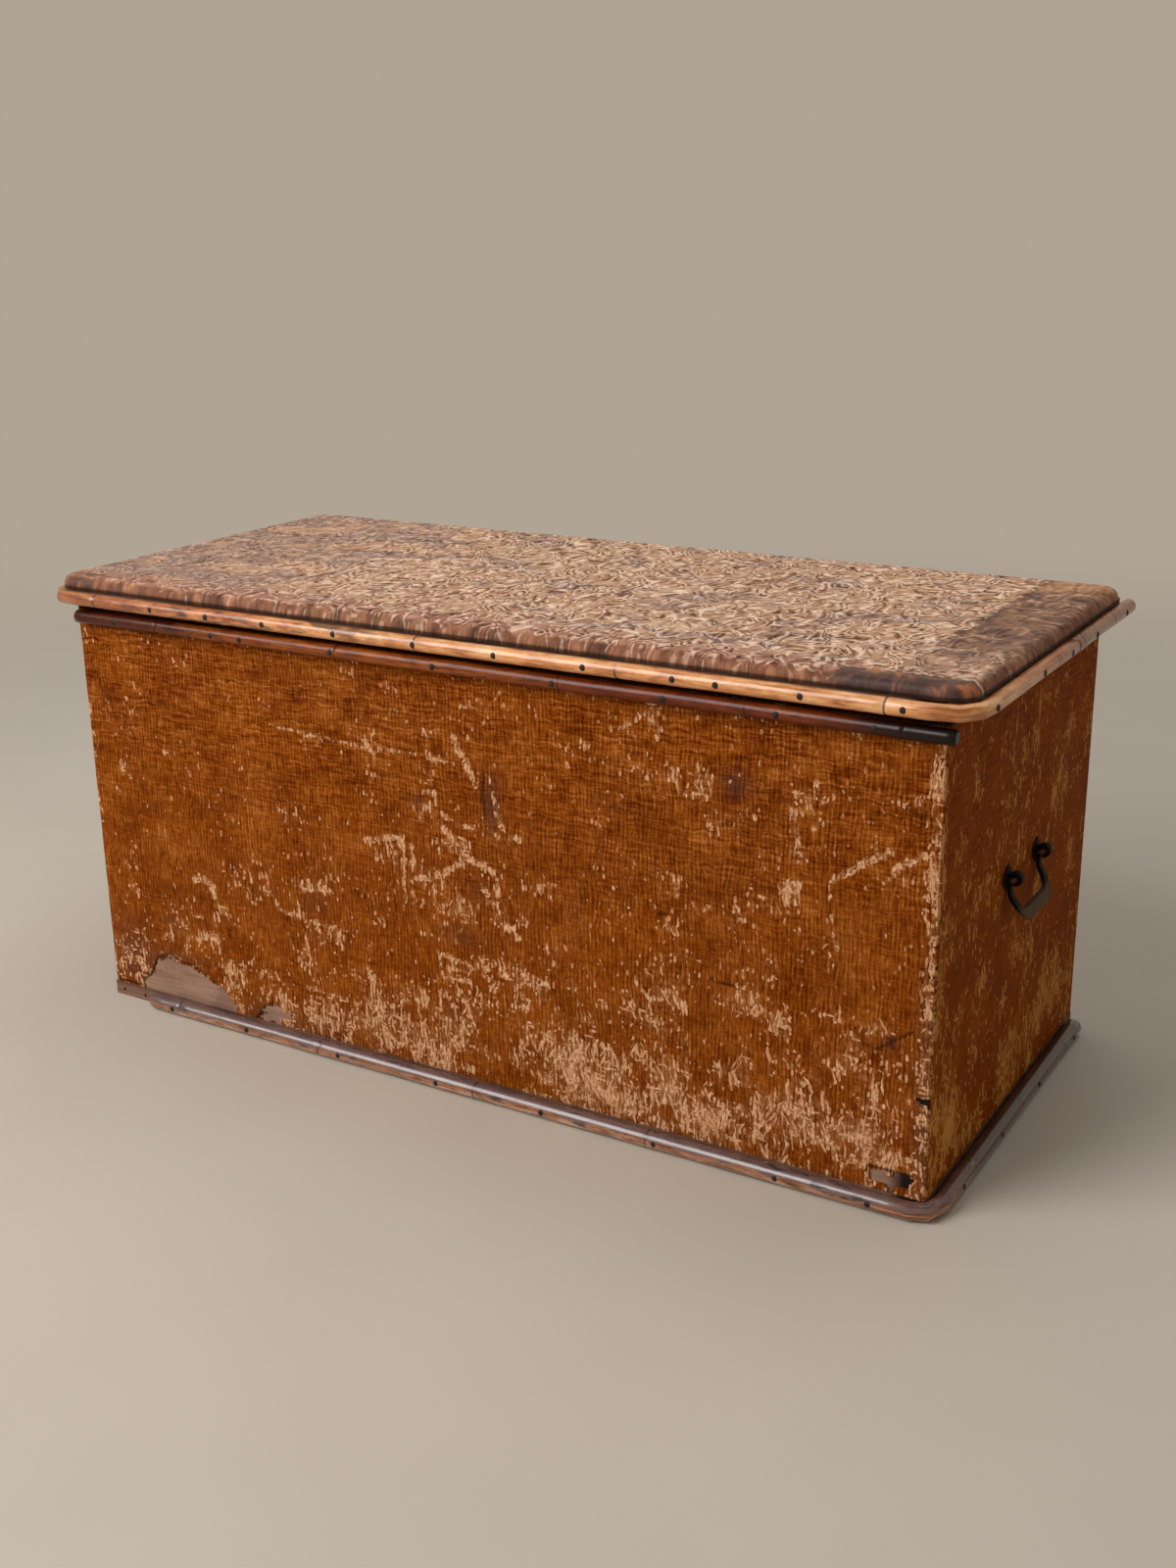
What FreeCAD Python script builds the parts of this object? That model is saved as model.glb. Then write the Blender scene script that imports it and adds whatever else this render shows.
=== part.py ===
import FreeCAD, Part
import math
import os

# A low lidded chest: a nailed board case covered in ribbed matting, trimmed with
# bamboo cane, with a raised lid on two butt hinges and a strap bail on each end.
# Millimetres. +X is the chest's right end, the front faces -Y, the floor is z = 0.

os.makedirs("parts", exist_ok=True)

# Case, measured over its covering
body_width = 860.0
body_depth = 392.0
rim_height = 403.0
wall_thickness = 14.0
bottom_thickness = 14.0
covering_thickness = 1.2
rabbet_depth = 6.0
bottom_corner_radius = 10.0

# Torn and rubbed places in the front covering
tear_start = 40.0
tear_width = 132.0
tear_height = 42.0
tear_outline_shares = [
    (0.0, 0.0), (0.02, 0.3), (0.09, 0.42), (0.12, 0.72), (0.18, 0.95), (0.3, 1.0),
    (0.44, 0.9), (0.58, 0.8), (0.7, 0.62), (0.8, 0.5), (0.88, 0.26), (0.96, 0.1), (1.0, 0.0),
]
patch_width = 35.0
patch_height = 14.0
patch_end_inset = 13.0
patch_foot = 5.0
chip_radius = 9.0
chip_depth = 6.0
chip_height_shares = (0.24, 0.52)

# Lid
lid_overhang_side = 15.0
lid_overhang_front = 4.0
lid_board_thickness = 15.0
lid_corner_radius = 20.0
panel_height = 10.8
panel_overhang = 2.3
panel_back_setback = 1.0
panel_corner_radius = 20.0
panel_edge_radius = 8.4
cleat_width = 44.0
cleat_thickness = 14.0
cleat_spacing = 560.0
cleat_end_clearance = 9.0
cleat_chamfer = 3.0

# Bamboo cane trim
lid_cane_radius = 6.5
rim_cane_radius = 6.2
base_cane_radius = 7.5
cane_seat_gap = 0.1
cane_joint_gap = 0.3
cane_end_chamfer = 1.6
cane_node_height = 0.6
cane_node_half = 3.4
lid_cane_return = 208.0
lid_cane_overrun = 5.0
rim_cane_drop = 4.1
rim_cane_start = 7.0
rim_cane_overrun = 9.0
base_cane_start = 58.0
base_cane_left_start = 66.0
base_cane_back_inset = 16.0
base_cane_lift = 0.1
lid_front_node_shares = (0.04, 0.243, 0.47, 0.695, 0.765, 0.955)
lid_return_node_shares = (0.32, 0.72)
lid_rear_node_shares = (0.08, 0.62)
rim_node_shares = (0.12, 0.36, 0.62, 0.81, 0.955)
base_front_node_shares = (0.05, 0.27, 0.49, 0.71, 0.9)
base_side_node_shares = (0.18, 0.52, 0.86)

# Round-headed nails through the cane
cane_nail_head_radius = 2.7
cane_nail_head_height = 1.3
cane_nail_shank_radius = 0.9
cane_nail_bite = 9.0
cane_nail_sink = 0.5
nail_tip_length = 3.0
lid_nail_shares = (0.125, 0.203, 0.28, 0.372, 0.47, 0.564, 0.662, 0.755, 0.798, 0.879, 0.972)
lid_return_nail_shares = (0.02, 0.55, 0.9)
lid_rear_nail_shares = (0.3, 0.85)
rim_nail_shares = (0.06, 0.198, 0.237, 0.355, 0.479, 0.614, 0.73, 0.84, 0.93)
base_nail_shares = (0.04, 0.16, 0.3, 0.44, 0.58, 0.72, 0.86, 0.96)
base_side_nail_shares = (0.1, 0.36, 0.64, 0.93)

# Flush nails that hold the boards together
board_nail_head_radius = 2.4
board_nail_shank_radius = 1.3
board_nail_length = 40.0
board_nail_recess = 0.2
corner_nail_height_shares = (0.1, 0.36, 0.64, 0.9)
bottom_nail_width_shares = (0.08, 0.31, 0.55, 0.78, 0.93)
bottom_nail_depth_shares = (0.3, 0.7)

# Butt hinges
hinge_spacing = 500.0
hinge_length = 64.0
hinge_leaf_width = 11.5
hinge_leaf_thickness = 1.8
hinge_leaf_gap = 0.2
hinge_knuckle_count = 3
hinge_knuckle_radius = 3.4
hinge_knuckle_gap = 0.3
hinge_knuckle_stand = 0.4
hinge_pin_radius = 1.7
hinge_pin_clearance = 0.05
hinge_pin_head_radius = 2.6
hinge_pin_head_height = 0.9
hinge_mortise_clearance = 0.1
hinge_screw_pitch = 22.0
hinge_screw_head_radius = 3.0
hinge_screw_shank_radius = 1.5
hinge_screw_length = 11.5
hinge_screw_seat_gap = 0.05
hinge_screw_recess = 0.1

# Cleat screws
cleat_screw_pitch = 120.0
cleat_screw_head_radius = 3.6
cleat_screw_shank_radius = 1.9
cleat_screw_length = 24.0

# Strap bail on each end
handle_height = 231.0
bail_eye_spacing = 76.0
bail_eye_width = 7.0
bail_strap_thickness = 3.3
bail_leg_width = 6.6
bail_grip_width = 8.0
bail_drop = 33.0
bail_leg_drop = 14.0
bail_bow_out = 9.5
bail_bend_radius = 14.0
bail_corner_radius = 19.0
bail_roll_slit = 0.6
bail_roll_angle = -108.0
bail_eye_clearance = 0.35
bail_swing_clearance = 0.5

# Staple and back plate at each bail eye
staple_wire_radius = 2.2
staple_bend_radius = 2.7
staple_side_clearance = 0.4
staple_hole_clearance = 0.1
staple_clinch_length = 9.0
staple_clinch_gap = 0.2
plate_width = 20.0
plate_height = 22.0
plate_thickness = 1.8
plate_waist_share = 0.36
plate_edge_chamfer = 0.5

# How far a cut runs past what it cuts, and how near two points count as one
overrun = 3.0
same_point = 0.0001

# Flat sides of the hand-forged nails, screws and staple wire, and rings of a nail's dome
fastener_sides = 6
staple_sides = 6
dome_steps = 2

# Places worked out from the sizes above
half_width = body_width / 2
half_depth = body_depth / 2
board_half_width = half_width - covering_thickness
board_half_depth = half_depth - covering_thickness
inner_half_width = board_half_width - wall_thickness
inner_half_depth = board_half_depth - wall_thickness
wall_height = rim_height - bottom_thickness
lid_half_width = half_width + lid_overhang_side
lid_front = -half_depth - lid_overhang_front
lid_back = half_depth
lid_top = rim_height + lid_board_thickness
cane_seat = cane_node_height + cane_seat_gap
lid_cane_x = lid_half_width + lid_cane_radius + cane_seat
lid_cane_y = lid_front - lid_cane_radius - cane_seat
lid_cane_z = rim_height + lid_board_thickness / 2
lid_cane_bend = lid_corner_radius + lid_cane_radius + cane_seat
lid_cane_joint_y = lid_cane_y + lid_cane_bend + lid_cane_return
rim_cane_y = -half_depth - rim_cane_radius - cane_seat
rim_cane_z = rim_height - rim_cane_drop - rim_cane_radius
base_cane_x = half_width + base_cane_radius + cane_seat
base_cane_y = -half_depth - base_cane_radius - cane_seat
base_cane_z = base_cane_radius + cane_node_height + base_cane_lift
base_cane_bend = bottom_corner_radius + base_cane_radius + cane_seat
hinge_y = half_depth + hinge_knuckle_stand + hinge_knuckle_radius
hinge_leaf_y = board_half_depth - hinge_leaf_width
hinge_screw_y = (hinge_leaf_y + board_half_depth) / 2
hinge_recess = hinge_leaf_thickness + hinge_leaf_gap / 2
bail_hole_radius = staple_wire_radius + bail_eye_clearance
bail_eye_radius = bail_hole_radius + bail_strap_thickness
pin_stand = bail_eye_radius + plate_thickness + bail_swing_clearance
pin_x = half_width + pin_stand
staple_prong_y = bail_eye_width / 2 + staple_side_clearance + staple_wire_radius

x_axis = FreeCAD.Vector(1, 0, 0)
y_axis = FreeCAD.Vector(0, 1, 0)
z_axis = FreeCAD.Vector(0, 0, 1)
origin = FreeCAD.Vector(0, 0, 0)


# Shape helpers

def vec(x, y, z):
    return FreeCAD.Vector(x, y, z)


def block(low, high):
    """A box between two corners, each given as (x, y, z)."""
    length, width, height = [b - a for a, b in zip(low, high)]
    return Part.makeBox(length, width, height, vec(*low))


def rounded_wire(points, radii, closed):
    """Straight runs through the points, with a tangent arc of the given radius at each."""
    count = len(points)
    corners = []
    for i, here in enumerate(points):
        at_end = not closed and i in (0, count - 1)
        if at_end or radii[i] == 0:
            corners.append((here, None, here))
            continue
        back = (points[i - 1] - here).normalize()
        ahead = (points[(i + 1) % count] - here).normalize()
        half_angle = back.getAngle(ahead) / 2
        run = radii[i] / math.tan(half_angle)
        reach = radii[i] / math.sin(half_angle) - radii[i]
        inward = (back + ahead).normalize()
        corners.append((here + back * run, here + inward * reach, here + ahead * run))
    edges = []
    for i, (entry, middle, leave) in enumerate(corners):
        if middle is not None:
            edges.append(Part.Arc(entry, middle, leave).toShape())
        following = corners[(i + 1) % count][0]
        if (closed or i < count - 1) and not leave.isEqual(following, same_point):
            edges.append(Part.LineSegment(leave, following).toShape())
    return Part.Wire(edges)


def prism(points, radii, travel):
    """A closed outline with rounded corners, pushed along a vector."""
    return Part.Face(rounded_wire(points, radii, True)).extrude(travel)


def slab(half_length, front, back, bottom, height, front_radius, back_radius):
    """A flat plate, symmetrical about x = 0, with rounded vertical corners."""
    points = [
        vec(-half_length, front, bottom),
        vec(half_length, front, bottom),
        vec(half_length, back, bottom),
        vec(-half_length, back, bottom),
    ]
    radii = (front_radius, front_radius, back_radius, back_radius)
    return prism(points, radii, z_axis * height)


def turned(profile):
    """Revolves (along, radius) pairs, which start and end on the axis, about +X."""
    points = [vec(along, 0, radius) for along, radius in profile]
    face = Part.Face(Part.makePolygon(points + [points[0]]))
    return face.revolve(origin, x_axis, 360)


def faceted(profile):
    """A forged form about +X: flat sides through (along, radius) pairs that start and end on the axis."""
    turn = 2 * math.pi / fastener_sides
    rings = [
        [
            vec(along, radius * math.cos(turn * side), radius * math.sin(turn * side))
            for side in range(fastener_sides)
        ]
        for along, radius in profile
    ]
    faces = []
    for first, second in zip(rings, rings[1:]):
        for side in range(fastener_sides):
            following = (side + 1) % fastener_sides
            corners = [first[side], first[following], second[following], second[side]]
            distinct = [
                corner for i, corner in enumerate(corners)
                if not corner.isEqual(corners[i - 1], same_point)
            ]
            faces.append(Part.Face(Part.makePolygon(distinct + [distinct[0]])))
    return Part.Solid(Part.Shell(faces)).removeSplitter()


def placed(shape, place, direction):
    """Turns a shape made along +X to a direction and moves its start to a place."""
    turn = FreeCAD.Rotation(x_axis, direction)
    return shape.transformed(FreeCAD.Placement(place, turn).toMatrix())


def mirrored(shape):
    """The same shape at the chest's other end."""
    return shape.mirror(origin, x_axis)


def fused(shapes):
    return shapes[0].multiFuse(shapes[1:]).removeSplitter()


def save(name, shape):
    shape.exportStep(os.path.join("parts", name + ".step"))


# Fasteners, each made along +X from its seat

def dome(radius, height):
    """Points of a quarter ellipse, from the crown on the axis out to the rim."""
    points = []
    for step in range(dome_steps + 1):
        angle = math.pi / 2 * step / dome_steps
        points.append((-height * math.cos(angle), radius * math.sin(angle)))
    return points


def nail(head_radius, head_height, shank_radius, length):
    shank = [(0, shank_radius), (length - nail_tip_length, shank_radius), (length, 0)]
    return faceted(dome(head_radius, head_height) + shank)


def countersunk(head_radius, shank_radius, length):
    """A flat-headed screw or nail."""
    taper = head_radius - shank_radius
    return faceted([
        (0, 0),
        (0, head_radius),
        (taper, shank_radius),
        (length - taper, shank_radius),
        (length, 0),
    ])


def cane_nail(cane_radius, place, direction):
    """A nail through a cane, given by the cane's centre and the way it is driven."""
    length = cane_radius * 2 + cane_nail_bite - cane_nail_sink
    one = nail(cane_nail_head_radius, cane_nail_head_height, cane_nail_shank_radius, length)
    return placed(one, place - direction * (cane_radius - cane_nail_sink), direction)


def board_nail(surface, direction):
    """A nail driven flush from a point on a board's face."""
    one = countersunk(board_nail_head_radius, board_nail_shank_radius, board_nail_length)
    return placed(one, surface + direction * board_nail_recess, direction)


# Case boards

def long_board(outer_y, inner_y):
    """The front or back board, rabbeted at both ends for the end boards."""
    inward = 1 if inner_y > outer_y else -1
    rabbet_y = inner_y - inward * rabbet_depth
    board = block(
        (-board_half_width, min(outer_y, inner_y), bottom_thickness),
        (board_half_width, max(outer_y, inner_y), rim_height),
    )
    for side in (-1, 1):
        ends = sorted((side * inner_half_width, side * (board_half_width + overrun)))
        cut_y = sorted((rabbet_y, inner_y + inward * overrun))
        board = board.cut(block(
            (ends[0], cut_y[0], bottom_thickness - overrun),
            (ends[1], cut_y[1], rim_height + overrun),
        ))
    return board


def front_board():
    return long_board(-board_half_depth, -inner_half_depth)


def hinge_mortise(centre_x, low_z, high_z):
    """The pocket of one hinge leaf, open towards the back."""
    half = hinge_length / 2 + hinge_mortise_clearance
    return block(
        (centre_x - half, hinge_leaf_y - hinge_mortise_clearance, low_z),
        (centre_x + half, half_depth + overrun, high_z),
    )


def box_mortises():
    return [
        hinge_mortise(side * hinge_spacing / 2, rim_height - hinge_recess, rim_height + overrun)
        for side in (-1, 1)
    ]


def back_board():
    return long_board(board_half_depth, inner_half_depth).cut(box_mortises())


def wire_section(radius, centre, across):
    """The outline of faceted wire, in the upright plane that holds a direction."""
    points = []
    for side in range(staple_sides + 1):
        turn = 2 * math.pi * side / staple_sides
        points.append(centre + across * (radius * math.cos(turn)) + z_axis * (radius * math.sin(turn)))
    return Part.makePolygon(points)


def staple_holes():
    """Bores along X at the right end, one for each staple prong."""
    radius = staple_wire_radius + staple_hole_clearance
    holes = []
    for eye in (-1, 1):
        for prong in (-1, 1):
            y = eye * bail_eye_spacing / 2 + prong * staple_prong_y
            start = vec(inner_half_width - overrun, y, handle_height)
            outline = Part.Face(wire_section(radius, start, y_axis))
            holes.append(outline.extrude(x_axis * (wall_thickness + pin_stand)))
    return holes


def right_end_board():
    reach = inner_half_depth + rabbet_depth
    board = block((inner_half_width, -reach, bottom_thickness), (board_half_width, reach, rim_height))
    return board.cut(staple_holes())


def bottom_board():
    """A plain board under the walls, eased at the corner that the base cane bends round."""
    points = [
        vec(-half_width, -half_depth, 0),
        vec(half_width, -half_depth, 0),
        vec(half_width, half_depth, 0),
        vec(-half_width, half_depth, 0),
    ]
    return prism(points, (0, bottom_corner_radius, 0, 0), z_axis * bottom_thickness)


# Coverings

def tear():
    """The torn-away hump at the lower left of the front."""
    points = []
    for across, up in tear_outline_shares:
        x = -half_width + tear_start + across * tear_width
        points.append(vec(x, -half_depth - overrun, bottom_thickness + up * tear_height))
    foot = bottom_thickness - overrun
    points.append(vec(points[-1].x, points[-1].y, foot))
    points.append(vec(points[0].x, points[0].y, foot))
    face = Part.Face(Part.makePolygon(points + [points[0]]))
    return face.extrude(y_axis * (covering_thickness + 2 * overrun))


def rubbed_patch():
    right = half_width - patch_end_inset
    low = bottom_thickness + patch_foot
    return block(
        (right - patch_width, -half_depth - overrun, low),
        (right, -half_depth + covering_thickness + overrun, low + patch_height),
    )


def edge_chips(direction):
    """Bites out of the front right edge, cut along one axis from just outside the corner."""
    reach = covering_thickness + 2 * overrun
    bites = []
    for share in chip_height_shares:
        z = bottom_thickness + share * wall_height
        past_edge = chip_radius - chip_depth
        if direction is y_axis:
            start = vec(half_width + past_edge, -half_depth - overrun, z)
        else:
            start = vec(half_width - covering_thickness - overrun, -half_depth - past_edge, z)
        bites.append(Part.makeCylinder(chip_radius, reach, start, direction))
    return bites


def front_covering():
    sheet = block(
        (-half_width, -half_depth, bottom_thickness),
        (half_width, -board_half_depth, rim_height),
    )
    return sheet.cut([tear(), rubbed_patch()] + edge_chips(y_axis))


def back_covering():
    sheet = block(
        (-half_width, board_half_depth, bottom_thickness),
        (half_width, half_depth, rim_height),
    )
    return sheet.cut(box_mortises())


def end_covering():
    """The right end's sheet between the front and back ones, pierced for the staples."""
    sheet = block(
        (board_half_width, -board_half_depth, bottom_thickness),
        (half_width, board_half_depth, rim_height),
    )
    return sheet.cut(staple_holes())


# Bamboo cane

def cane_stretch(radius, length, node_shares, start_chamfer, end_chamfer):
    """A straight cane along +X, with a ridge at each node."""
    profile = [(0, 0), (0, radius - start_chamfer)]
    if start_chamfer > 0:
        profile.append((start_chamfer, radius))
    for share in node_shares:
        middle = share * length
        profile.append((middle - cane_node_half, radius))
        profile.append((middle, radius + cane_node_height))
        profile.append((middle + cane_node_half, radius))
    if end_chamfer > 0:
        profile.append((length - end_chamfer, radius))
    profile += [(length, radius - end_chamfer), (length, 0)]
    return turned(profile)


def cane_corner(radius, bend, centre, start_direction):
    """A quarter turn of cane about a vertical line, from a direction given in the plane."""
    tangent = z_axis.cross(start_direction)
    circle = Part.makeCircle(radius, centre + start_direction * bend, tangent)
    return Part.Face(Part.Wire(circle)).revolve(centre, z_axis, 90)


def lid_cane_front():
    """One long cane along the lid's front, bent back round both corners."""
    front_half = lid_cane_x - lid_cane_bend
    corner_y = lid_cane_y + lid_cane_bend
    front = placed(
        cane_stretch(lid_cane_radius, 2 * front_half, lid_front_node_shares, 0, 0),
        vec(-front_half, lid_cane_y, lid_cane_z), x_axis,
    )
    side = placed(
        cane_stretch(lid_cane_radius, lid_cane_return, lid_return_node_shares, 0, cane_end_chamfer),
        vec(lid_cane_x, corner_y, lid_cane_z), y_axis,
    )
    corner = cane_corner(lid_cane_radius, lid_cane_bend, vec(front_half, corner_y, lid_cane_z), -y_axis)
    return fused([front, corner, side, mirrored(corner), mirrored(side)])


def lid_cane_rear():
    """The shorter cane that runs on from the bent one to the lid's back edge, at the right."""
    start = lid_cane_joint_y + cane_joint_gap
    length = lid_back + lid_cane_overrun - start
    stretch = cane_stretch(
        lid_cane_radius, length, lid_rear_node_shares, cane_end_chamfer, cane_end_chamfer
    )
    return placed(stretch, vec(lid_cane_x, start, lid_cane_z), y_axis)


def rim_cane():
    start = -half_width + rim_cane_start
    length = half_width + rim_cane_overrun - start
    stretch = cane_stretch(
        rim_cane_radius, length, rim_node_shares, cane_end_chamfer, cane_end_chamfer
    )
    return placed(stretch, vec(start, rim_cane_y, rim_cane_z), x_axis)


def base_cane_front():
    """The base cane of the front and right end, bent at the corner; its left end is broken off."""
    start = -half_width + base_cane_start
    corner_x = base_cane_x - base_cane_bend
    corner_y = base_cane_y + base_cane_bend
    back = half_depth - base_cane_back_inset
    front = placed(
        cane_stretch(base_cane_radius, corner_x - start, base_front_node_shares, cane_end_chamfer, 0),
        vec(start, base_cane_y, base_cane_z), x_axis,
    )
    side = placed(
        cane_stretch(base_cane_radius, back - corner_y, base_side_node_shares, 0, cane_end_chamfer),
        vec(base_cane_x, corner_y, base_cane_z), y_axis,
    )
    corner = cane_corner(base_cane_radius, base_cane_bend, vec(corner_x, corner_y, base_cane_z), -y_axis)
    return fused([front, corner, side])


def base_cane_left():
    start = -half_depth + base_cane_left_start
    length = half_depth - base_cane_back_inset - start
    stretch = cane_stretch(
        base_cane_radius, length, base_side_node_shares, cane_end_chamfer, cane_end_chamfer
    )
    return placed(stretch, vec(-base_cane_x, start, base_cane_z), y_axis)


# Nails

def lid_cane_nails():
    front_half = lid_cane_x - lid_cane_bend
    corner_y = lid_cane_y + lid_cane_bend
    rear_length = lid_back - lid_cane_joint_y
    nails = []
    for share in lid_nail_shares:
        place = vec(front_half * (2 * share - 1), lid_cane_y, lid_cane_z)
        nails.append(cane_nail(lid_cane_radius, place, y_axis))
    for side in (-1, 1):
        stops = [corner_y + share * lid_cane_return for share in lid_return_nail_shares]
        stops += [lid_cane_joint_y + share * rear_length for share in lid_rear_nail_shares]
        for y in stops:
            place = vec(side * lid_cane_x, y, lid_cane_z)
            nails.append(cane_nail(lid_cane_radius, place, x_axis * -side))
    return nails


def rim_cane_nails():
    start = -half_width + rim_cane_start
    length = half_width + rim_cane_overrun - start
    return [
        cane_nail(rim_cane_radius, vec(start + share * length, rim_cane_y, rim_cane_z), y_axis)
        for share in rim_nail_shares
    ]


def base_cane_nails():
    start_x = -half_width + base_cane_start
    length_x = base_cane_x - base_cane_bend - start_x
    nails = []
    for share in base_nail_shares:
        place = vec(start_x + share * length_x, base_cane_y, base_cane_z)
        nails.append(cane_nail(base_cane_radius, place, y_axis))
    for side, start_y in ((1, base_cane_y + base_cane_bend), (-1, -half_depth + base_cane_left_start)):
        length_y = half_depth - base_cane_back_inset - start_y
        for share in base_side_nail_shares:
            place = vec(side * base_cane_x, start_y + share * length_y, base_cane_z)
            nails.append(cane_nail(base_cane_radius, place, x_axis * -side))
    return nails


def corner_nails():
    """Through the front and back boards into the ends of the end boards."""
    nails = []
    for side in (-1, 1):
        x = side * (inner_half_width + wall_thickness / 2)
        for share in corner_nail_height_shares:
            z = bottom_thickness + share * wall_height
            nails.append(board_nail(vec(x, -board_half_depth, z), y_axis))
            nails.append(board_nail(vec(x, board_half_depth, z), y_axis * -1))
    return nails


def bottom_nails():
    """Up through the bottom board into the walls."""
    nails = []
    for side in (-1, 1):
        y = side * (board_half_depth - wall_thickness / 2)
        for share in bottom_nail_width_shares:
            nails.append(board_nail(vec(board_half_width * (2 * share - 1), y, 0), z_axis))
        x = side * (inner_half_width + wall_thickness / 2)
        for share in bottom_nail_depth_shares:
            nails.append(board_nail(vec(x, board_half_depth * (2 * share - 1), 0), z_axis))
    return nails


# Hinges

def hinge_leaf(centre_x, low_z, knuckles):
    """A leaf with the knuckles of the given numbers, its plate standing on low_z."""
    half = hinge_length / 2
    pitch = (hinge_length + hinge_knuckle_gap) / hinge_knuckle_count
    high_z = low_z + hinge_leaf_thickness
    pieces = [block((centre_x - half, hinge_leaf_y, low_z), (centre_x + half, half_depth, high_z))]
    for number in knuckles:
        start = centre_x - half + number * pitch
        end = start + pitch - hinge_knuckle_gap
        pieces.append(block((start, half_depth, low_z), (end, hinge_y, high_z)))
        place = vec(start, hinge_y, rim_height)
        pieces.append(Part.makeCylinder(hinge_knuckle_radius, end - start, place, x_axis))
    bore_start = vec(centre_x - half - overrun, hinge_y, rim_height)
    bore_radius = hinge_pin_radius + hinge_pin_clearance
    bore = Part.makeCylinder(bore_radius, hinge_length + 2 * overrun, bore_start, x_axis)
    return fused(pieces).cut(bore)


def hinge_screws(centre_x, face_z, direction, seat_gap):
    """Three countersunk screws in a row along a leaf; seat_gap makes the holes for them."""
    one = countersunk(
        hinge_screw_head_radius + seat_gap, hinge_screw_shank_radius + seat_gap, hinge_screw_length
    )
    start_z = face_z + direction.z * (hinge_screw_recess - seat_gap)
    return [
        placed(one, vec(centre_x + step * hinge_screw_pitch, hinge_screw_y, start_z), direction)
        for step in (-1, 0, 1)
    ]


def countersinks(centre_x, face_z, direction):
    """The holes of a leaf's screws, open to the face."""
    mouth_radius = hinge_screw_head_radius + hinge_screw_seat_gap
    mouth = faceted([
        (-overrun, 0),
        (-overrun, mouth_radius),
        (hinge_screw_recess, mouth_radius),
        (hinge_screw_recess, 0),
    ])
    mouths = [
        placed(mouth, vec(centre_x + step * hinge_screw_pitch, hinge_screw_y, face_z), direction)
        for step in (-1, 0, 1)
    ]
    return mouths + hinge_screws(centre_x, face_z, direction, hinge_screw_seat_gap)


def hinge_box_leaf(centre_x):
    face_z = rim_height - hinge_leaf_gap / 2
    leaf = hinge_leaf(centre_x, rim_height - hinge_recess, range(0, hinge_knuckle_count, 2))
    return leaf.cut(countersinks(centre_x, face_z, z_axis * -1))


def hinge_lid_leaf(centre_x):
    face_z = rim_height + hinge_leaf_gap / 2
    leaf = hinge_leaf(centre_x, face_z, range(1, hinge_knuckle_count, 2))
    return leaf.cut(countersinks(centre_x, face_z, z_axis))


def hinge_pin(centre_x):
    half = hinge_length / 2
    head = hinge_pin_head_height
    pin = turned([
        (0, 0),
        (0, hinge_pin_head_radius),
        (head, hinge_pin_head_radius),
        (head, hinge_pin_radius),
        (hinge_length + head, hinge_pin_radius),
        (hinge_length + head, hinge_pin_head_radius),
        (hinge_length + 2 * head, hinge_pin_head_radius),
        (hinge_length + 2 * head, 0),
    ])
    return placed(pin, vec(centre_x - half - head, hinge_y, rim_height), x_axis)


# Lid

def lid_board():
    board = slab(lid_half_width, lid_front, lid_back, rim_height, lid_board_thickness,
                 lid_corner_radius, 0)
    pockets = [
        hinge_mortise(side * hinge_spacing / 2, rim_height - overrun, rim_height + hinge_recess)
        for side in (-1, 1)
    ]
    return board.cut(pockets)


def raised_field(skin, height, corner_radius, edge_radius):
    """A plate on the lid board with its top edge rounded over; skin makes it larger all round."""
    half_length = lid_half_width + panel_overhang + skin
    front = lid_front - panel_overhang - skin
    back = lid_back - panel_back_setback - covering_thickness + skin
    field = slab(half_length, front, back, lid_top, height, corner_radius, corner_radius)
    top = lid_top + height
    rim = [
        edge for edge in field.Edges
        if all(abs(vertex.Z - top) < same_point for vertex in edge.Vertexes)
    ]
    return field.makeFillet(edge_radius, rim)


def lid_panel():
    return raised_field(0, panel_height, panel_corner_radius, panel_edge_radius)


def lid_covering():
    over = raised_field(
        covering_thickness, panel_height + covering_thickness,
        panel_corner_radius + covering_thickness, panel_edge_radius + covering_thickness,
    )
    return over.cut(lid_panel())


def cleat_centres():
    return (-cleat_spacing / 2, cleat_spacing / 2)


def lid_cleat(centre_x):
    """A batten across the lid's underside, clear of the walls, its lower ends chamfered."""
    reach = inner_half_depth - cleat_end_clearance
    low = rim_height - cleat_thickness
    cleat = block(
        (centre_x - cleat_width / 2, -reach, low), (centre_x + cleat_width / 2, reach, rim_height)
    )
    lower_edges = [
        edge for edge in cleat.Edges
        if all(abs(vertex.Z - low) < same_point for vertex in edge.Vertexes)
    ]
    return cleat.makeChamfer(cleat_chamfer, lower_edges)


def cleat_screws():
    one = countersunk(cleat_screw_head_radius, cleat_screw_shank_radius, cleat_screw_length)
    low = rim_height - cleat_thickness
    return [
        placed(one, vec(x, step * cleat_screw_pitch, low), z_axis)
        for x in cleat_centres()
        for step in (-1, 0, 1)
    ]


# Handle at the right end; the left one is its mirror image

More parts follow.
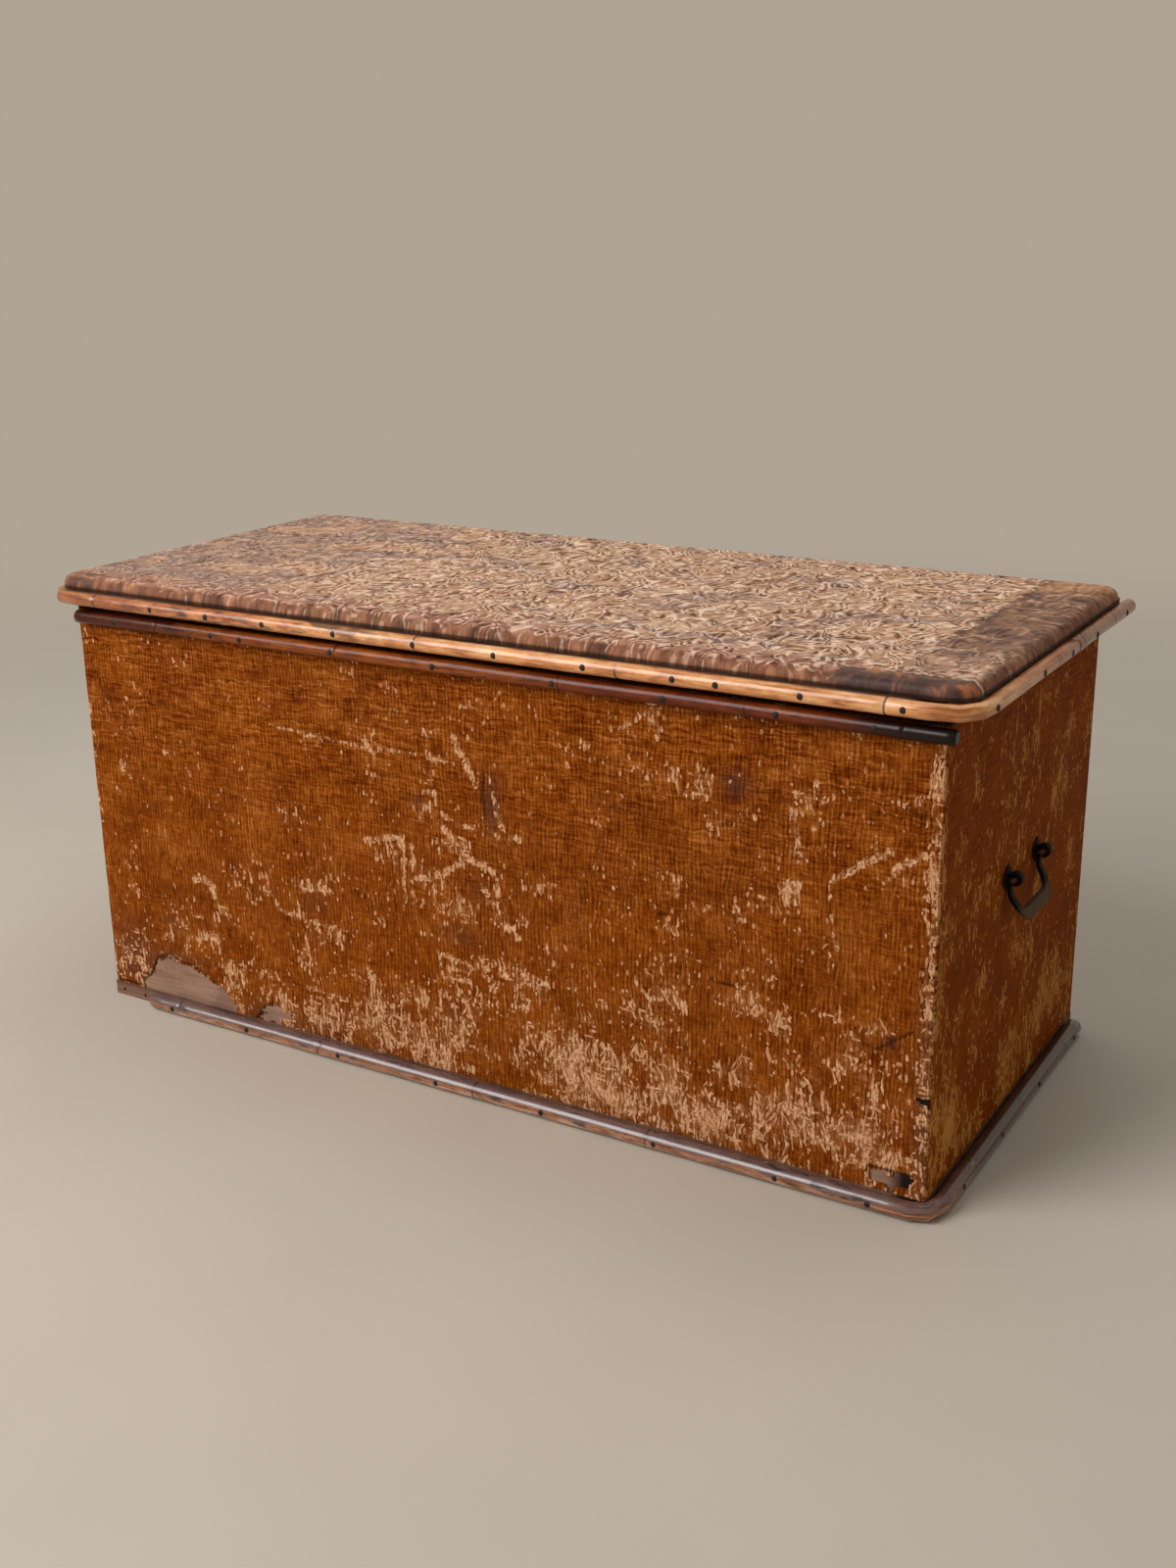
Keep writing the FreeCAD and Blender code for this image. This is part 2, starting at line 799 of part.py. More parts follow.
def bail():
    """A flat strap bowed off the wall, cut to a U and rolled into an eye at each top end."""
    strap_x = pin_x - bail_eye_radius + bail_strap_thickness / 2
    foot = handle_height - bail_drop - bail_grip_width / 2
    bend = vec(strap_x, 0, handle_height - bail_leg_drop)
    grip_edge = vec(pin_x + bail_bow_out, 0, foot)
    past_grip = grip_edge + (grip_edge - bend).normalize() * overrun
    line = rounded_wire(
        [vec(strap_x, 0, handle_height), bend, past_grip], (0, bail_bend_radius, 0), False
    )
    half_strap = bail_eye_spacing / 2 + bail_eye_width
    half_thick = bail_strap_thickness / 2
    section = Part.makePolygon([
        vec(strap_x - half_thick, -half_strap, handle_height),
        vec(strap_x + half_thick, -half_strap, handle_height),
        vec(strap_x + half_thick, half_strap, handle_height),
        vec(strap_x - half_thick, half_strap, handle_height),
        vec(strap_x - half_thick, -half_strap, handle_height),
    ])
    strap = line.makePipeShell([section], True, False)
    outer = bail_eye_spacing / 2 + bail_leg_width / 2
    inner = bail_eye_spacing / 2 - bail_leg_width / 2
    grip_top = foot + bail_grip_width
    outline_y_z = [
        (-outer, handle_height), (-outer, foot), (outer, foot), (outer, handle_height),
        (inner, handle_height), (inner, grip_top), (-inner, grip_top), (-inner, handle_height),
    ]
    inner_radius = bail_corner_radius - bail_leg_width
    outline = prism(
        [vec(half_width, y, z) for y, z in outline_y_z],
        (0, bail_corner_radius, bail_corner_radius, 0, 0, inner_radius, inner_radius, 0),
        x_axis * (pin_stand + bail_bow_out + bail_strap_thickness),
    )
    pieces = [strap.common(outline)]
    cuts = []
    for eye in (-1, 1):
        start_y = eye * bail_eye_spacing / 2 - bail_eye_width / 2
        start = vec(pin_x, start_y, handle_height)
        pieces.append(Part.makeCylinder(bail_eye_radius, bail_eye_width, start, y_axis))
        cuts.append(Part.makeCylinder(bail_hole_radius, bail_eye_width, start, y_axis))
        slit = block(
            (pin_x, start_y, handle_height - bail_roll_slit / 2),
            (pin_x + bail_eye_radius, start_y + bail_eye_width, handle_height + bail_roll_slit / 2),
        )
        slit.rotate(start, y_axis, -bail_roll_angle)
        cuts.append(slit)
    return fused(pieces).cut(cuts)


def handle_staples():
    """Wire staples driven through the end board and clinched over inside."""
    clinch_x = inner_half_width - staple_clinch_gap - staple_wire_radius
    tip_y = staple_prong_y + staple_clinch_length
    staples = []
    for eye in (-1, 1):
        y = eye * bail_eye_spacing / 2
        line = rounded_wire(
            [
                vec(clinch_x, y - tip_y, handle_height),
                vec(clinch_x, y - staple_prong_y, handle_height),
                vec(pin_x, y - staple_prong_y, handle_height),
                vec(pin_x, y + staple_prong_y, handle_height),
                vec(clinch_x, y + staple_prong_y, handle_height),
                vec(clinch_x, y + tip_y, handle_height),
            ],
            [staple_bend_radius] * 6, False,
        )
        section = wire_section(staple_wire_radius, vec(clinch_x, y - tip_y, handle_height), x_axis)
        staples.append(line.makePipeShell([section], True, False))
    return staples


def handle_plates():
    """A small pointed plate on the covering behind each bail eye."""
    shoulder = plate_height / 2 * plate_waist_share
    outline_y_z = [
        (0, plate_height / 2), (plate_width / 2, shoulder), (plate_width / 2, -shoulder),
        (0, -plate_height / 2), (-plate_width / 2, -shoulder), (-plate_width / 2, shoulder),
    ]
    face_x = half_width + plate_thickness
    plates = []
    for eye in (-1, 1):
        centre_y = eye * bail_eye_spacing / 2
        points = [vec(half_width, centre_y + y, handle_height + z) for y, z in outline_y_z]
        plate = prism(points, [0] * len(points), x_axis * plate_thickness)
        front_edges = [
            edge for edge in plate.Edges
            if all(abs(vertex.X - face_x) < same_point for vertex in edge.Vertexes)
        ]
        plates.append(plate.makeChamfer(plate_edge_chamfer, front_edges).cut(staple_holes()))
    return plates


def both_ends(name, make):
    """Saves a right-hand piece and its mirror image, from one solid or a list of them."""
    made = make()
    shape = Part.makeCompound(made) if isinstance(made, list) else made
    save("right_" + name, shape)
    save("left_" + name, mirrored(shape))


save("bottom_board", bottom_board())
save("front_board", front_board())
save("back_board", back_board())
both_ends("end_board", right_end_board)
save("front_covering", front_covering())
save("back_covering", back_covering())
save("right_end_covering", end_covering().cut(edge_chips(x_axis)))
save("left_end_covering", mirrored(end_covering()))
save("rim_cane", rim_cane())
save("base_cane_front", base_cane_front())
save("base_cane_left", base_cane_left())
save("rim_cane_nails", Part.makeCompound(rim_cane_nails()))
save("base_cane_nails", Part.makeCompound(base_cane_nails()))
save("corner_nails", Part.makeCompound(corner_nails()))
save("bottom_nails", Part.makeCompound(bottom_nails()))

box_face = rim_height - hinge_leaf_gap / 2
lid_face = rim_height + hinge_leaf_gap / 2
box_screws = []
lid_screws = []
for side_name, centre in (("left", -hinge_spacing / 2), ("right", hinge_spacing / 2)):
    save(side_name + "_hinge_box_leaf", hinge_box_leaf(centre))
    save(side_name + "_hinge_lid_leaf", hinge_lid_leaf(centre))
    save(side_name + "_hinge_pin", hinge_pin(centre))
    box_screws += hinge_screws(centre, box_face, z_axis * -1, 0)
    lid_screws += hinge_screws(centre, lid_face, z_axis, 0)
save("hinge_box_screws", Part.makeCompound(box_screws))
save("hinge_lid_screws", Part.makeCompound(lid_screws))

save("lid_board", lid_board())
save("lid_panel", lid_panel())
save("lid_covering", lid_covering())
save("left_lid_cleat", lid_cleat(cleat_centres()[0]))
save("right_lid_cleat", lid_cleat(cleat_centres()[1]))
save("cleat_screws", Part.makeCompound(cleat_screws()))
save("lid_cane_front", lid_cane_front())
both_ends("lid_cane_rear", lid_cane_rear)
save("lid_cane_nails", Part.makeCompound(lid_cane_nails()))

both_ends("bail", bail)
both_ends("handle_staples", handle_staples)
both_ends("handle_plates", handle_plates)
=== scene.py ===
import bpy
import math
import numpy as np
from mathutils import Matrix, Vector


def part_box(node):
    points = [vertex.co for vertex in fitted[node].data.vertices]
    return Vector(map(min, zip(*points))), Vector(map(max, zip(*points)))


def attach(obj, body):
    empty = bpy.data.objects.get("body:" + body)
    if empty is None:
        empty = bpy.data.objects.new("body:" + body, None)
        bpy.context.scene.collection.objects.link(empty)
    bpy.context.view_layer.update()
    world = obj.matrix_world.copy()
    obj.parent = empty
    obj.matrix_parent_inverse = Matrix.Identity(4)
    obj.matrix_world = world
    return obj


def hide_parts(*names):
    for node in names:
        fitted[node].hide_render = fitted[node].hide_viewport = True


# An old cane-trimmed storage chest: ribbed matting on the case, an embossed lid, bamboo trim.
# Everything is in metres and sits where the fitted pieces are.

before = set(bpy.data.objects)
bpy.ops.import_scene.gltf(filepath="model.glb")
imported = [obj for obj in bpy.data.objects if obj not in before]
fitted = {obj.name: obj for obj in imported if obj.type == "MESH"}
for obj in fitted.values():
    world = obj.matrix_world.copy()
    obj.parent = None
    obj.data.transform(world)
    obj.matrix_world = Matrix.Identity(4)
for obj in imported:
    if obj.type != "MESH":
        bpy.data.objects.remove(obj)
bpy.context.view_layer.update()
mm = 0.001
print("chest loaded,", len(fitted), "fitted pieces")


# camera, set to the picture's own angle

viewpoint = {
    "place": (0.8274, -1.3546, 0.7496),
    "azimuth": 31.009,
    "elevation": 18.042,
    "roll": -0.857,
    "lens": 40.4935,
    "sensor": 36,
}


def addCamera(setup):
    bpy.ops.object.camera_add()
    camera = bpy.context.object
    turned = Matrix.Translation(setup["place"])
    turns = ((setup["azimuth"], "Z"), (90 - setup["elevation"], "X"), (setup["roll"], "Z"))
    for angle, axis in turns:
        turned = turned @ Matrix.Rotation(math.radians(angle), 4, axis)
    camera.matrix_world = turned
    camera.data.lens = setup["lens"]
    camera.data.sensor_width = setup["sensor"]
    camera.data.clip_start = 10 * mm
    bpy.context.scene.camera = camera


addCamera(viewpoint)
bpy.context.scene.view_settings.view_transform = "Standard"
print("camera placed")


# small helpers for meshes

def deselectAll():
    bpy.ops.object.select_all(action="DESELECT")


def work(piece):
    deselectAll()
    piece.select_set(True)
    bpy.context.view_layer.objects.active = piece


def enter(mode):
    bpy.ops.object.mode_set(mode=mode)


def named(name):
    piece = bpy.context.object
    piece.name = name
    piece.data.name = name
    return piece


def openEdit(piece, kind, chosen):
    # into edit mode with only the chosen faces or edges selected
    work(piece)
    enter("EDIT")
    bpy.ops.mesh.select_mode(type=kind)
    bpy.ops.mesh.select_all(action="DESELECT")
    enter("OBJECT")
    parts = piece.data.polygons if kind == "FACE" else piece.data.edges
    parts.foreach_set("select", chosen)
    enter("EDIT")


def selectBorder():
    bpy.ops.mesh.select_mode(type="EDGE")
    bpy.ops.mesh.select_all(action="DESELECT")
    bpy.ops.mesh.select_non_manifold(use_wire=False, use_multi_face=False,
                                     use_non_contiguous=False, use_verts=False)


def closeEdit(angle):
    # out of edit mode with every face outward, smooth up to the angle
    bpy.ops.mesh.select_all(action="SELECT")
    bpy.ops.mesh.normals_make_consistent(inside=False)
    enter("OBJECT")
    bpy.ops.object.shade_smooth_by_angle(angle=math.radians(angle))


def points(piece):
    found = np.empty(len(piece.data.vertices) * 3)
    piece.data.vertices.foreach_get("co", found)
    return found.reshape(-1, 3)


def movePoints(piece, places):
    piece.data.vertices.foreach_set("co", np.ascontiguousarray(places).ravel())
    piece.data.update()


def paint(piece, name, values):
    kind, part = ("FLOAT", "value") if values.ndim == 1 else ("FLOAT_VECTOR", "vector")
    layer = piece.data.attributes.new(name, kind, "POINT")
    layer.data.foreach_set(part, values.astype(np.float32).ravel())


def fade(value, low, high):
    # 0 at low, 1 at high, straight in between
    return np.clip((value - low) / (high - low), 0, 1)


def cloud(u, v, size, seed):
    # soft seeded noise, 0 to 1, with lumps about one size across
    cells = 256
    table = np.random.default_rng(seed).random((cells, cells))
    a, b = u / size, v / size
    i, j = np.floor(a).astype(int), np.floor(b).astype(int)
    s, t = a - i, b - j
    s, t = s * s * (3 - 2 * s), t * t * (3 - 2 * t)
    i, j, nextI, nextJ = i % cells, j % cells, (i + 1) % cells, (j + 1) % cells
    low = table[i, j] * (1 - s) + table[nextI, j] * s
    high = table[i, nextJ] * (1 - s) + table[nextI, nextJ] * s
    return low * (1 - t) + high * t


def blob(u, v, spot):
    # soft oval: centre, half sizes, strength
    x, z, wide, tall, strength = spot
    return strength * np.exp(-(((u - x) / wide) ** 2 + ((v - z) / tall) ** 2))


def stroke(u, v, line, width):
    # 1 on a polyline, falling to 0 at one and a half of its width
    nearest = np.full(u.shape, 1e9)
    for (x0, z0), (x1, z1) in zip(line, line[1:]):
        dx, dz = x1 - x0, z1 - z0
        along = np.clip(((u - x0) * dx + (v - z0) * dz) / (dx * dx + dz * dz), 0, 1)
        nearest = np.minimum(nearest, np.hypot(u - x0 - along * dx, v - z0 - along * dz))
    return np.clip(1.5 - nearest / width, 0, 1)


def inside(u, v, outline):
    # an odd number of the outline's edges lies beyond the point
    result = np.zeros(u.shape, bool)
    for (x0, z0), (x1, z1) in zip(outline, outline[1:] + outline[:1]):
        if z0 != z1:
            result ^= ((z0 > v) != (z1 > v)) & (u < (x1 - x0) * (v - z0) / (z1 - z0) + x0)
    return result


# small helpers for materials; they all build in the tree that was opened last

def buildIn(owner):
    global tree
    owner.use_nodes = True
    tree = owner.node_tree
    tree.nodes.clear()
    return owner


def startMaterial(name):
    return buildIn(bpy.data.materials.new(name))


def tint(red, green, blue):
    # screen colour, 0 to 255, as the shader wants it
    def linear(part):
        part /= 255
        return part / 12.92 if part <= 0.04045 else ((part + 0.055) / 1.055) ** 2.4
    return (linear(red), linear(green), linear(blue), 1)


def put(kind, settings=None, **inputs):
    # inputs by name, or by number as i0, i1 and so on
    made = tree.nodes.new("ShaderNode" + kind)
    for key, value in (settings or {}).items():
        setattr(made, key, value)
    for key, value in inputs.items():
        number = key[1:].isdigit() and key[0] == "i"
        socket = made.inputs[int(key[1:]) if number else key.replace("_", " ")]
        if isinstance(value, bpy.types.NodeSocket):
            tree.links.new(value, socket)
        else:
            socket.default_value = value
    return made


def calc(operation, *values, clamp=False):
    return put("Math", {"operation": operation, "use_clamp": clamp},
               **{"i%d" % i: value for i, value in enumerate(values)}).outputs[0]


def plus(a, b):
    return calc("ADD", a, b)


def minus(a, b):
    return calc("SUBTRACT", a, b)


def times(a, b):
    return calc("MULTIPLY", a, b)


def scaleAdd(value, factor, extra):
    return calc("MULTIPLY_ADD", value, factor, extra)


def swing(noise, amount, base):
    # base, moved up and down by a noise of 0 to 1
    return scaleAdd(minus(noise, 0.5), amount, base)


def radial(a, b):
    # how far off, from the way off on two axes
    return calc("SQRT", plus(times(a, a), times(b, b)))


def step(value, low, high, start=0.0, end=1.0):
    return put("MapRange", {"interpolation_type": "SMOOTHSTEP"}, Value=value,
               From_Min=low, From_Max=high, To_Min=start, To_Max=end).outputs[0]


def blendIn(amount, first, second, kind="MIX"):
    return put("Mix", {"data_type": "RGBA", "blend_type": kind},
               i0=amount, i6=first, i7=second).outputs[2]


def grain(place, scale, detail, roughness=0.5, distortion=0.0):
    return put("TexNoise", Vector=place, Scale=scale, Detail=detail,
               Roughness=roughness, Distortion=distortion).outputs[0]


def join(x, y, z=0.0):
    return put("CombineXYZ", X=x, Y=y, Z=z).outputs[0]


def split(vector):
    return put("SeparateXYZ", Vector=vector).outputs


def streaky(u, v, wide, tall, detail, layer=0.0, roughness=0.6, twist=0.0):
    # noise that is stretched by its own factor each way
    return grain(join(times(u, wide), times(v, tall), layer), 1, detail, roughness, twist)


def ramp(amount, *stops):
    # stops: place, red, green, blue
    made = put("ValToRGB", Fac=amount)
    band = made.color_ramp
    while len(band.elements) < len(stops):
        band.elements.new(0.5)
    for element, (place, *colour) in zip(band.elements, stops):
        element.position = place
        element.color = tint(*colour)
    return made.outputs[0]


def painted(name, vector=False):
    return put("Attribute", {"attribute_name": name}).outputs[1 if vector else 2]


def objectMm():
    # object coordinates, in millimetres
    place = put("TexCoord").outputs["Object"]
    scaled = put("VectorMath", {"operation": "SCALE"}, i0=place, Scale=1 / mm).outputs[0]
    return scaled, *split(scaled)


def bump(height, distance, strength):
    return put("Bump", Height=height, Distance=distance, Strength=strength).outputs[0]


def finishMaterial(material, colour, roughness, normal, **sockets):
    shader = put("BsdfPrincipled", Base_Color=colour, Roughness=roughness, Normal=normal, **sockets)
    put("OutputMaterial", Surface=shader.outputs[0])
    return material


def dress(piece, material):
    if len(piece.data.materials) == 0:
        piece.data.materials.append(material)
    for place in piece.material_slots:
        place.material = material


# ironwork

handle = {
    "pinOut": 438.15,        # the bails' pins, mm from the middle and from the floor
    "pinHeight": 231.0,
    "eyeRadius": 2.6,
    "gripFrom": 208.0,       # the grip is rubbed below this height
}


def ironMaterial(name, dark, middle, rust, rustFrom, roughLow, metallic, specular,
                 rubbed=None, eye=None):
    # rubbed: colour of a bail's grip; eye: colour seen in the rolled eyes, round the pin's axis
    material = startMaterial(name)
    place, x, y, z = objectMm()
    lumps = grain(place, 0.35, 4, 0.6)
    pits = grain(place, 1.4, 3, 0.6)
    colour = ramp(lumps, (0.3, *dark), (0.7, *middle))
    colour = blendIn(step(pits, rustFrom, rustFrom + 0.12, 0.0, 0.7), colour, tint(*rust))
    if rubbed:
        worn = step(z, handle["gripFrom"], handle["gripFrom"] - 8.0, 0.0, 0.85)
        colour = blendIn(worn, colour, tint(*rubbed))
    if eye:
        away = radial(minus(calc("ABSOLUTE", x), handle["pinOut"]), minus(z, handle["pinHeight"]))
        hole = step(away, handle["eyeRadius"], handle["eyeRadius"] - 0.7, 0.0, 0.95)
        colour = blendIn(hole, colour, tint(*eye))
    normal = bump(scaleAdd(lumps, 1.4, pits), 0.35 * mm, 0.9)
    return finishMaterial(material, colour, scaleAdd(pits, 0.4, roughLow), normal,
                          Metallic=metallic, Specular_IOR_Level=specular)


handleIron = ironMaterial("blackIron", (7, 5, 3), (22, 15, 9), (48, 26, 12),
                          0.58, 0.40, 0.0, 0.12, (96, 74, 54), (96, 52, 26))
nailIron = ironMaterial("nailIron", (10, 7, 6), (30, 20, 15), (52, 30, 20),
                        0.56, 0.30, 0.0, 0.4)
hingeIron = ironMaterial("hingeIron", (58, 50, 44), (104, 94, 84), (96, 56, 32),
                         0.54, 0.32, 0.8, 0.5)
screwSteel = ironMaterial("screwSteel", (84, 78, 72), (136, 128, 118), (104, 68, 44),
                          0.58, 0.28, 0.85, 0.5)


# round-headed nails through the canes, each on the fitted nail's own spot

nails = {
    "headRadius": 2.7 * mm,
    "headRise": 1.3 * mm,
    "shankRadius": 0.9 * mm,
    "tipRadius": 0.1 * mm,
}


def nailSpots(node):
    # for each fitted nail: the outermost point of its head, the way it faces and its length
    work(fitted[node])
    bpy.ops.object.duplicate()
    enter("EDIT")
    bpy.ops.mesh.select_all(action="SELECT")
    bpy.ops.mesh.remove_doubles(threshold=0.001 * mm)
    bpy.ops.mesh.separate(type="LOOSE")
    enter("OBJECT")
    spots = []
    for part in bpy.context.selected_objects:
        corners = np.array([part.matrix_world @ Vector(corner) for corner in part.bound_box])
        low, high = Vector(corners.min(0)), Vector(corners.max(0))
        x, y, z = (low + high) / 2
        if high.y - low.y > high.x - low.x:
            spots.append((Vector((x, low.y, z)), Vector((0, -1, 0)), high.y - low.y))
        else:
            edge, way = (high.x, 1) if x > 0 else (low.x, -1)
            spots.append((Vector((edge, y, z)), Vector((way, 0, 0)), high.x - low.x))
    bpy.ops.object.delete()
    print(len(spots), "nails in", node)
    return spots


def addNails(name, node, body):
    radius, rise = nails["headRadius"], nails["headRise"]
    made = []
    for spot, way, length in nailSpots(node):
        bpy.ops.mesh.primitive_uv_sphere_add(
            segments=16, ring_count=8, radius=1, location=spot - way * rise,
            rotation=way.to_track_quat("Z", "Y").to_euler(), scale=(radius, radius, rise))
        made.append(bpy.context.object)
        bpy.ops.mesh.primitive_cone_add(
            vertices=8, radius1=nails["shankRadius"], radius2=nails["tipRadius"],
            depth=length - rise, location=spot - way * (length + rise) / 2,
            rotation=(-way).to_track_quat("Z", "Y").to_euler())
        made.append(bpy.context.object)
    deselectAll()
    for part in made:
        part.select_set(True)
    bpy.ops.object.join()
    piece = named(name)
    bpy.ops.object.transform_apply(location=True, rotation=True, scale=True)
    bpy.ops.object.shade_smooth_by_angle(angle=math.radians(50))
    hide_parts(node)
    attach(piece, body)
    dress(piece, nailIron)


addNails("lidCaneNails", "lid_cane_nails", "lid")
addNails("rimCaneNails", "rim_cane_nails", "case")
addNails("baseCaneNails", "base_cane_nails", "case")
print("nails driven")

for nodeName, piece in fitted.items():
    if nodeName.endswith(("_bail", "_staples", "_plates")):
        dress(piece, handleIron)
    elif nodeName.endswith("_nails"):
        dress(piece, nailIron)
    elif "_hinge_" in nodeName:
        dress(piece, hingeIron)
    elif nodeName.endswith("_screws"):
        dress(piece, screwSteel)
print("ironwork finished")


# ribbed matting on the case: real ribs, torn places, painted wear

matting = {
    "ribs": 232,             # across the front
    "rowHeight": 2.45 * mm,  # mesh rows, coarser on the sides that nobody sees first
    "leftRow": 4.2 * mm,
    "backRow": 5.6 * mm,
    "ribRise": 0.30 * mm,
    "ribWander": 0.12 * mm,
    "ribSway": 3.0 * mm,     # how far a rib strays sideways
    "crackDepth": 0.35 * mm,
    "edgeRound": 3.0 * mm,
    "weftPitch": 3.3,        # mm, in the weave's colour
}

frontLow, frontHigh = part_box("front_covering")
caseHalfX = frontHigh.x
caseHalfY = -frontLow.y
caseFoot, caseTop = frontLow.z, frontHigh.z
sheetThick = frontHigh.y - frontLow.y
ribPitch = 2 * caseHalfX / matting["ribs"]

# millimetres on the front: x from the middle, height from the floor
tearOutline = [
    (-391, 10), (-389, 22), (-383, 30), (-376, 34), (-373, 43), (-366, 52), (-352, 56), (-336, 52),
    (-318, 50), (-306, 45), (-297, 40), (-287, 36), (-279, 30), (-274, 21), (-268, 10),
]
secondTear = [(-243, 15), (-232, 27), (-222, 34), (-206, 33), (-200, 27), (-205, 18), (-214, 15)]
rubbedPatch = [(382, 19), (383, 33), (398, 32), (417, 33), (417, 19), (400, 18)]
edgeHoles = [
    [(419, 195), (417, 204), (421, 212), (424, 208), (427, 212), (427, 203), (423, 199)],
    [(419, 167), (420, 181), (423, 182), (423, 169)],
    [(415, 101), (418, 105), (424, 104), (430, 106), (430, 100), (421, 98)],
]
frontOpenings = [tearOutline, secondTear, rubbedPatch] + edgeHoles

# x, height, half width, half height, strength
frontRubs = [
    (-80, 220, 22, 9, 0.75), (-62, 205, 14, 18, 0.8), (-30, 190, 34, 22, 0.85),
    (-5, 172, 22, 14, 0.8), (25, 212, 18, 6, 0.8), (38, 182, 12, 14, 0.7), (52, 166, 14, 10, 0.75),
    (0, 232, 12, 12, 0.6), (-18, 262, 26, 8, 0.7), (-5, 272, 10, 10, 0.6), (48, 250, 16, 5, 0.7),
    (8, 312, 8, 18, 0.55), (-8, 118, 20, 12, 0.8), (14, 130, 12, 8, 0.5), (66, 120, 20, 10, 0.85),
    (60, 134, 8, 8, 0.5), (-160, 166, 24, 6, 0.65), (-200, 145, 24, 10, 0.7),
    (-155, 117, 38, 10, 0.7), (-188, 192, 8, 8, 0.6), (-165, 211, 12, 4, 0.5),
    (-90, 186, 8, 10, 0.6), (-130, 183, 5, 10, 0.55), (-205, 272, 5, 9, 0.35),
    (-296, 140, 16, 6, 0.8), (-332, 156, 34, 7, 0.6), (-390, 115, 12, 6, 0.7),
    (-408, 122, 22, 3, 0.5), (-288, 90, 10, 20, 0.55), (-345, 112, 6, 8, 0.5),
    (-245, 115, 12, 8, 0.45), (-270, 62, 16, 16, 0.5), (-392, 248, 6, 8, 0.7),
    (-330, 268, 6, 4, 0.6), (-378, 189, 6, 5, 0.5), (-250, 207, 5, 8, 0.5), (-107, 371, 9, 4, 0.9),
    (-300, 365, 4, 10, 0.5), (-368, 290, 8, 5, 0.4), (-300, 318, 3, 4, 0.5), (193, 370, 10, 8, 0.6),
    (146, 338, 7, 9, 0.7), (95, 345, 8, 4, 0.35), (210, 316, 24, 5, 0.5), (312, 300, 8, 22, 0.55),
    (310, 250, 9, 12, 0.7), (362, 280, 30, 9, 0.6), (408, 290, 10, 12, 0.6), (274, 218, 30, 9, 0.5),
    (345, 228, 4, 24, 0.5), (212, 236, 5, 8, 0.5), (276, 132, 10, 26, 0.5), (306, 138, 18, 18, 0.4),
    (130, 60, 60, 44, 0.6), (100, 42, 50, 30, 0.5), (200, 50, 40, 34, 0.5),
    (-150, 45, 50, 26, 0.65), (-115, 84, 16, 12, 0.55), (-20, 55, 45, 40, 0.6),
    (320, 55, 60, 36, 0.6), (395, 45, 24, 14, 0.75), (-412, 38, 18, 18, 0.5),
    (-225, 60, 20, 24, 0.45), (240, 84, 30, 14, 0.35), (-72, 92, 10, 6, 0.7),
    (-195, 108, 6, 10, 0.5), (380, 100, 30, 30, 0.3), (160, 118, 24, 14, 0.25),
]

# line, width, strength; over 1 shows whole
frontScratches = [
    ([(-200, 314), (-150, 311), (-95, 308), (-40, 310), (0, 307)], 1.3, 0.95),
    ([(-96, 316), (-90, 307), (-84, 300)], 1.6, 1.2), ([(0, 330), (9, 314), (20, 294)], 2.6, 1.1),
    ([(38, 286), (44, 262), (52, 252), (66, 248)], 2.2, 1.0),
    ([(-15, 247), (-2, 236), (8, 224), (18, 222), (36, 216), (40, 196)], 2.6, 1.15),
    ([(8, 222), (-18, 204), (-44, 196)], 3.0, 1.0), ([(26, 200), (40, 176), (60, 160)], 2.8, 1.05),
    ([(-100, 222), (-60, 232), (-58, 200)], 2.4, 1.0), ([(-50, 226), (-50, 168)], 1.6, 1.0),
    ([(-58, 222), (-58, 170)], 1.5, 1.0),
    ([(-34, 277), (-22, 277), (-22, 266), (-34, 262), (-40, 252)], 1.6, 1.0),
    ([(-20, 262), (-4, 254), (18, 252)], 2.0, 1.0),
    ([(-25, 129), (8, 124), (8, 108), (-20, 106), (-25, 129)], 1.6, 1.0),
    ([(-12, 128), (-12, 106)], 1.4, 0.9), ([(-18, 118), (8, 116)], 1.4, 0.9),
    ([(52, 134), (70, 126), (84, 112)], 2.6, 1.0),
    ([(62, 124), (62, 104), (80, 104), (80, 120)], 1.5, 0.95),
    ([(-310, 146), (-298, 148), (-288, 141), (-286, 132)], 3.0, 1.1),
    ([(-225, 152), (-212, 146), (-206, 136), (-184, 131)], 2.6, 1.0),
    ([(-182, 170), (-176, 160), (-140, 166)], 1.8, 0.9), ([(-175, 131), (-120, 126)], 1.6, 0.9),
    ([(160, 360), (172, 366), (184, 376), (198, 382)], 1.5, 1.0),
    ([(188, 372), (196, 364), (192, 354)], 1.8, 1.0),
    ([(304, 324), (312, 312), (316, 296), (315, 284), (324, 278)], 1.8, 1.05),
    ([(305, 258), (318, 258), (312, 240), (306, 240)], 1.8, 1.0),
    ([(390, 295), (368, 282), (345, 266)], 2.6, 1.1),
    ([(343, 262), (345, 240), (350, 210)], 1.5, 0.95),
    ([(394, 282), (404, 290), (416, 298)], 2.4, 1.1),
    ([(208, 246), (212, 236), (216, 246)], 1.2, 1.0), ([(212, 238), (212, 226)], 1.2, 1.0),
    ([(226, 226), (233, 214), (240, 224)], 1.2, 1.0), ([(-62, 232), (-70, 196)], 1.4, 0.9),
    ([(-36, 206), (-38, 172)], 1.4, 0.9), ([(-120, 92), (-104, 96), (-98, 74)], 1.5, 0.9),
    ([(-180, 62), (-120, 58), (-122, 34)], 1.6, 0.9), ([(-176, 48), (-100, 44)], 1.4, 0.85),
    ([(380, 50), (396, 44), (420, 48), (424, 36)], 1.8, 1.1),
    ([(386, 40), (404, 38), (408, 52)], 1.5, 1.0), ([(-120, 300), (-122, 288)], 1.3, 0.9),
]

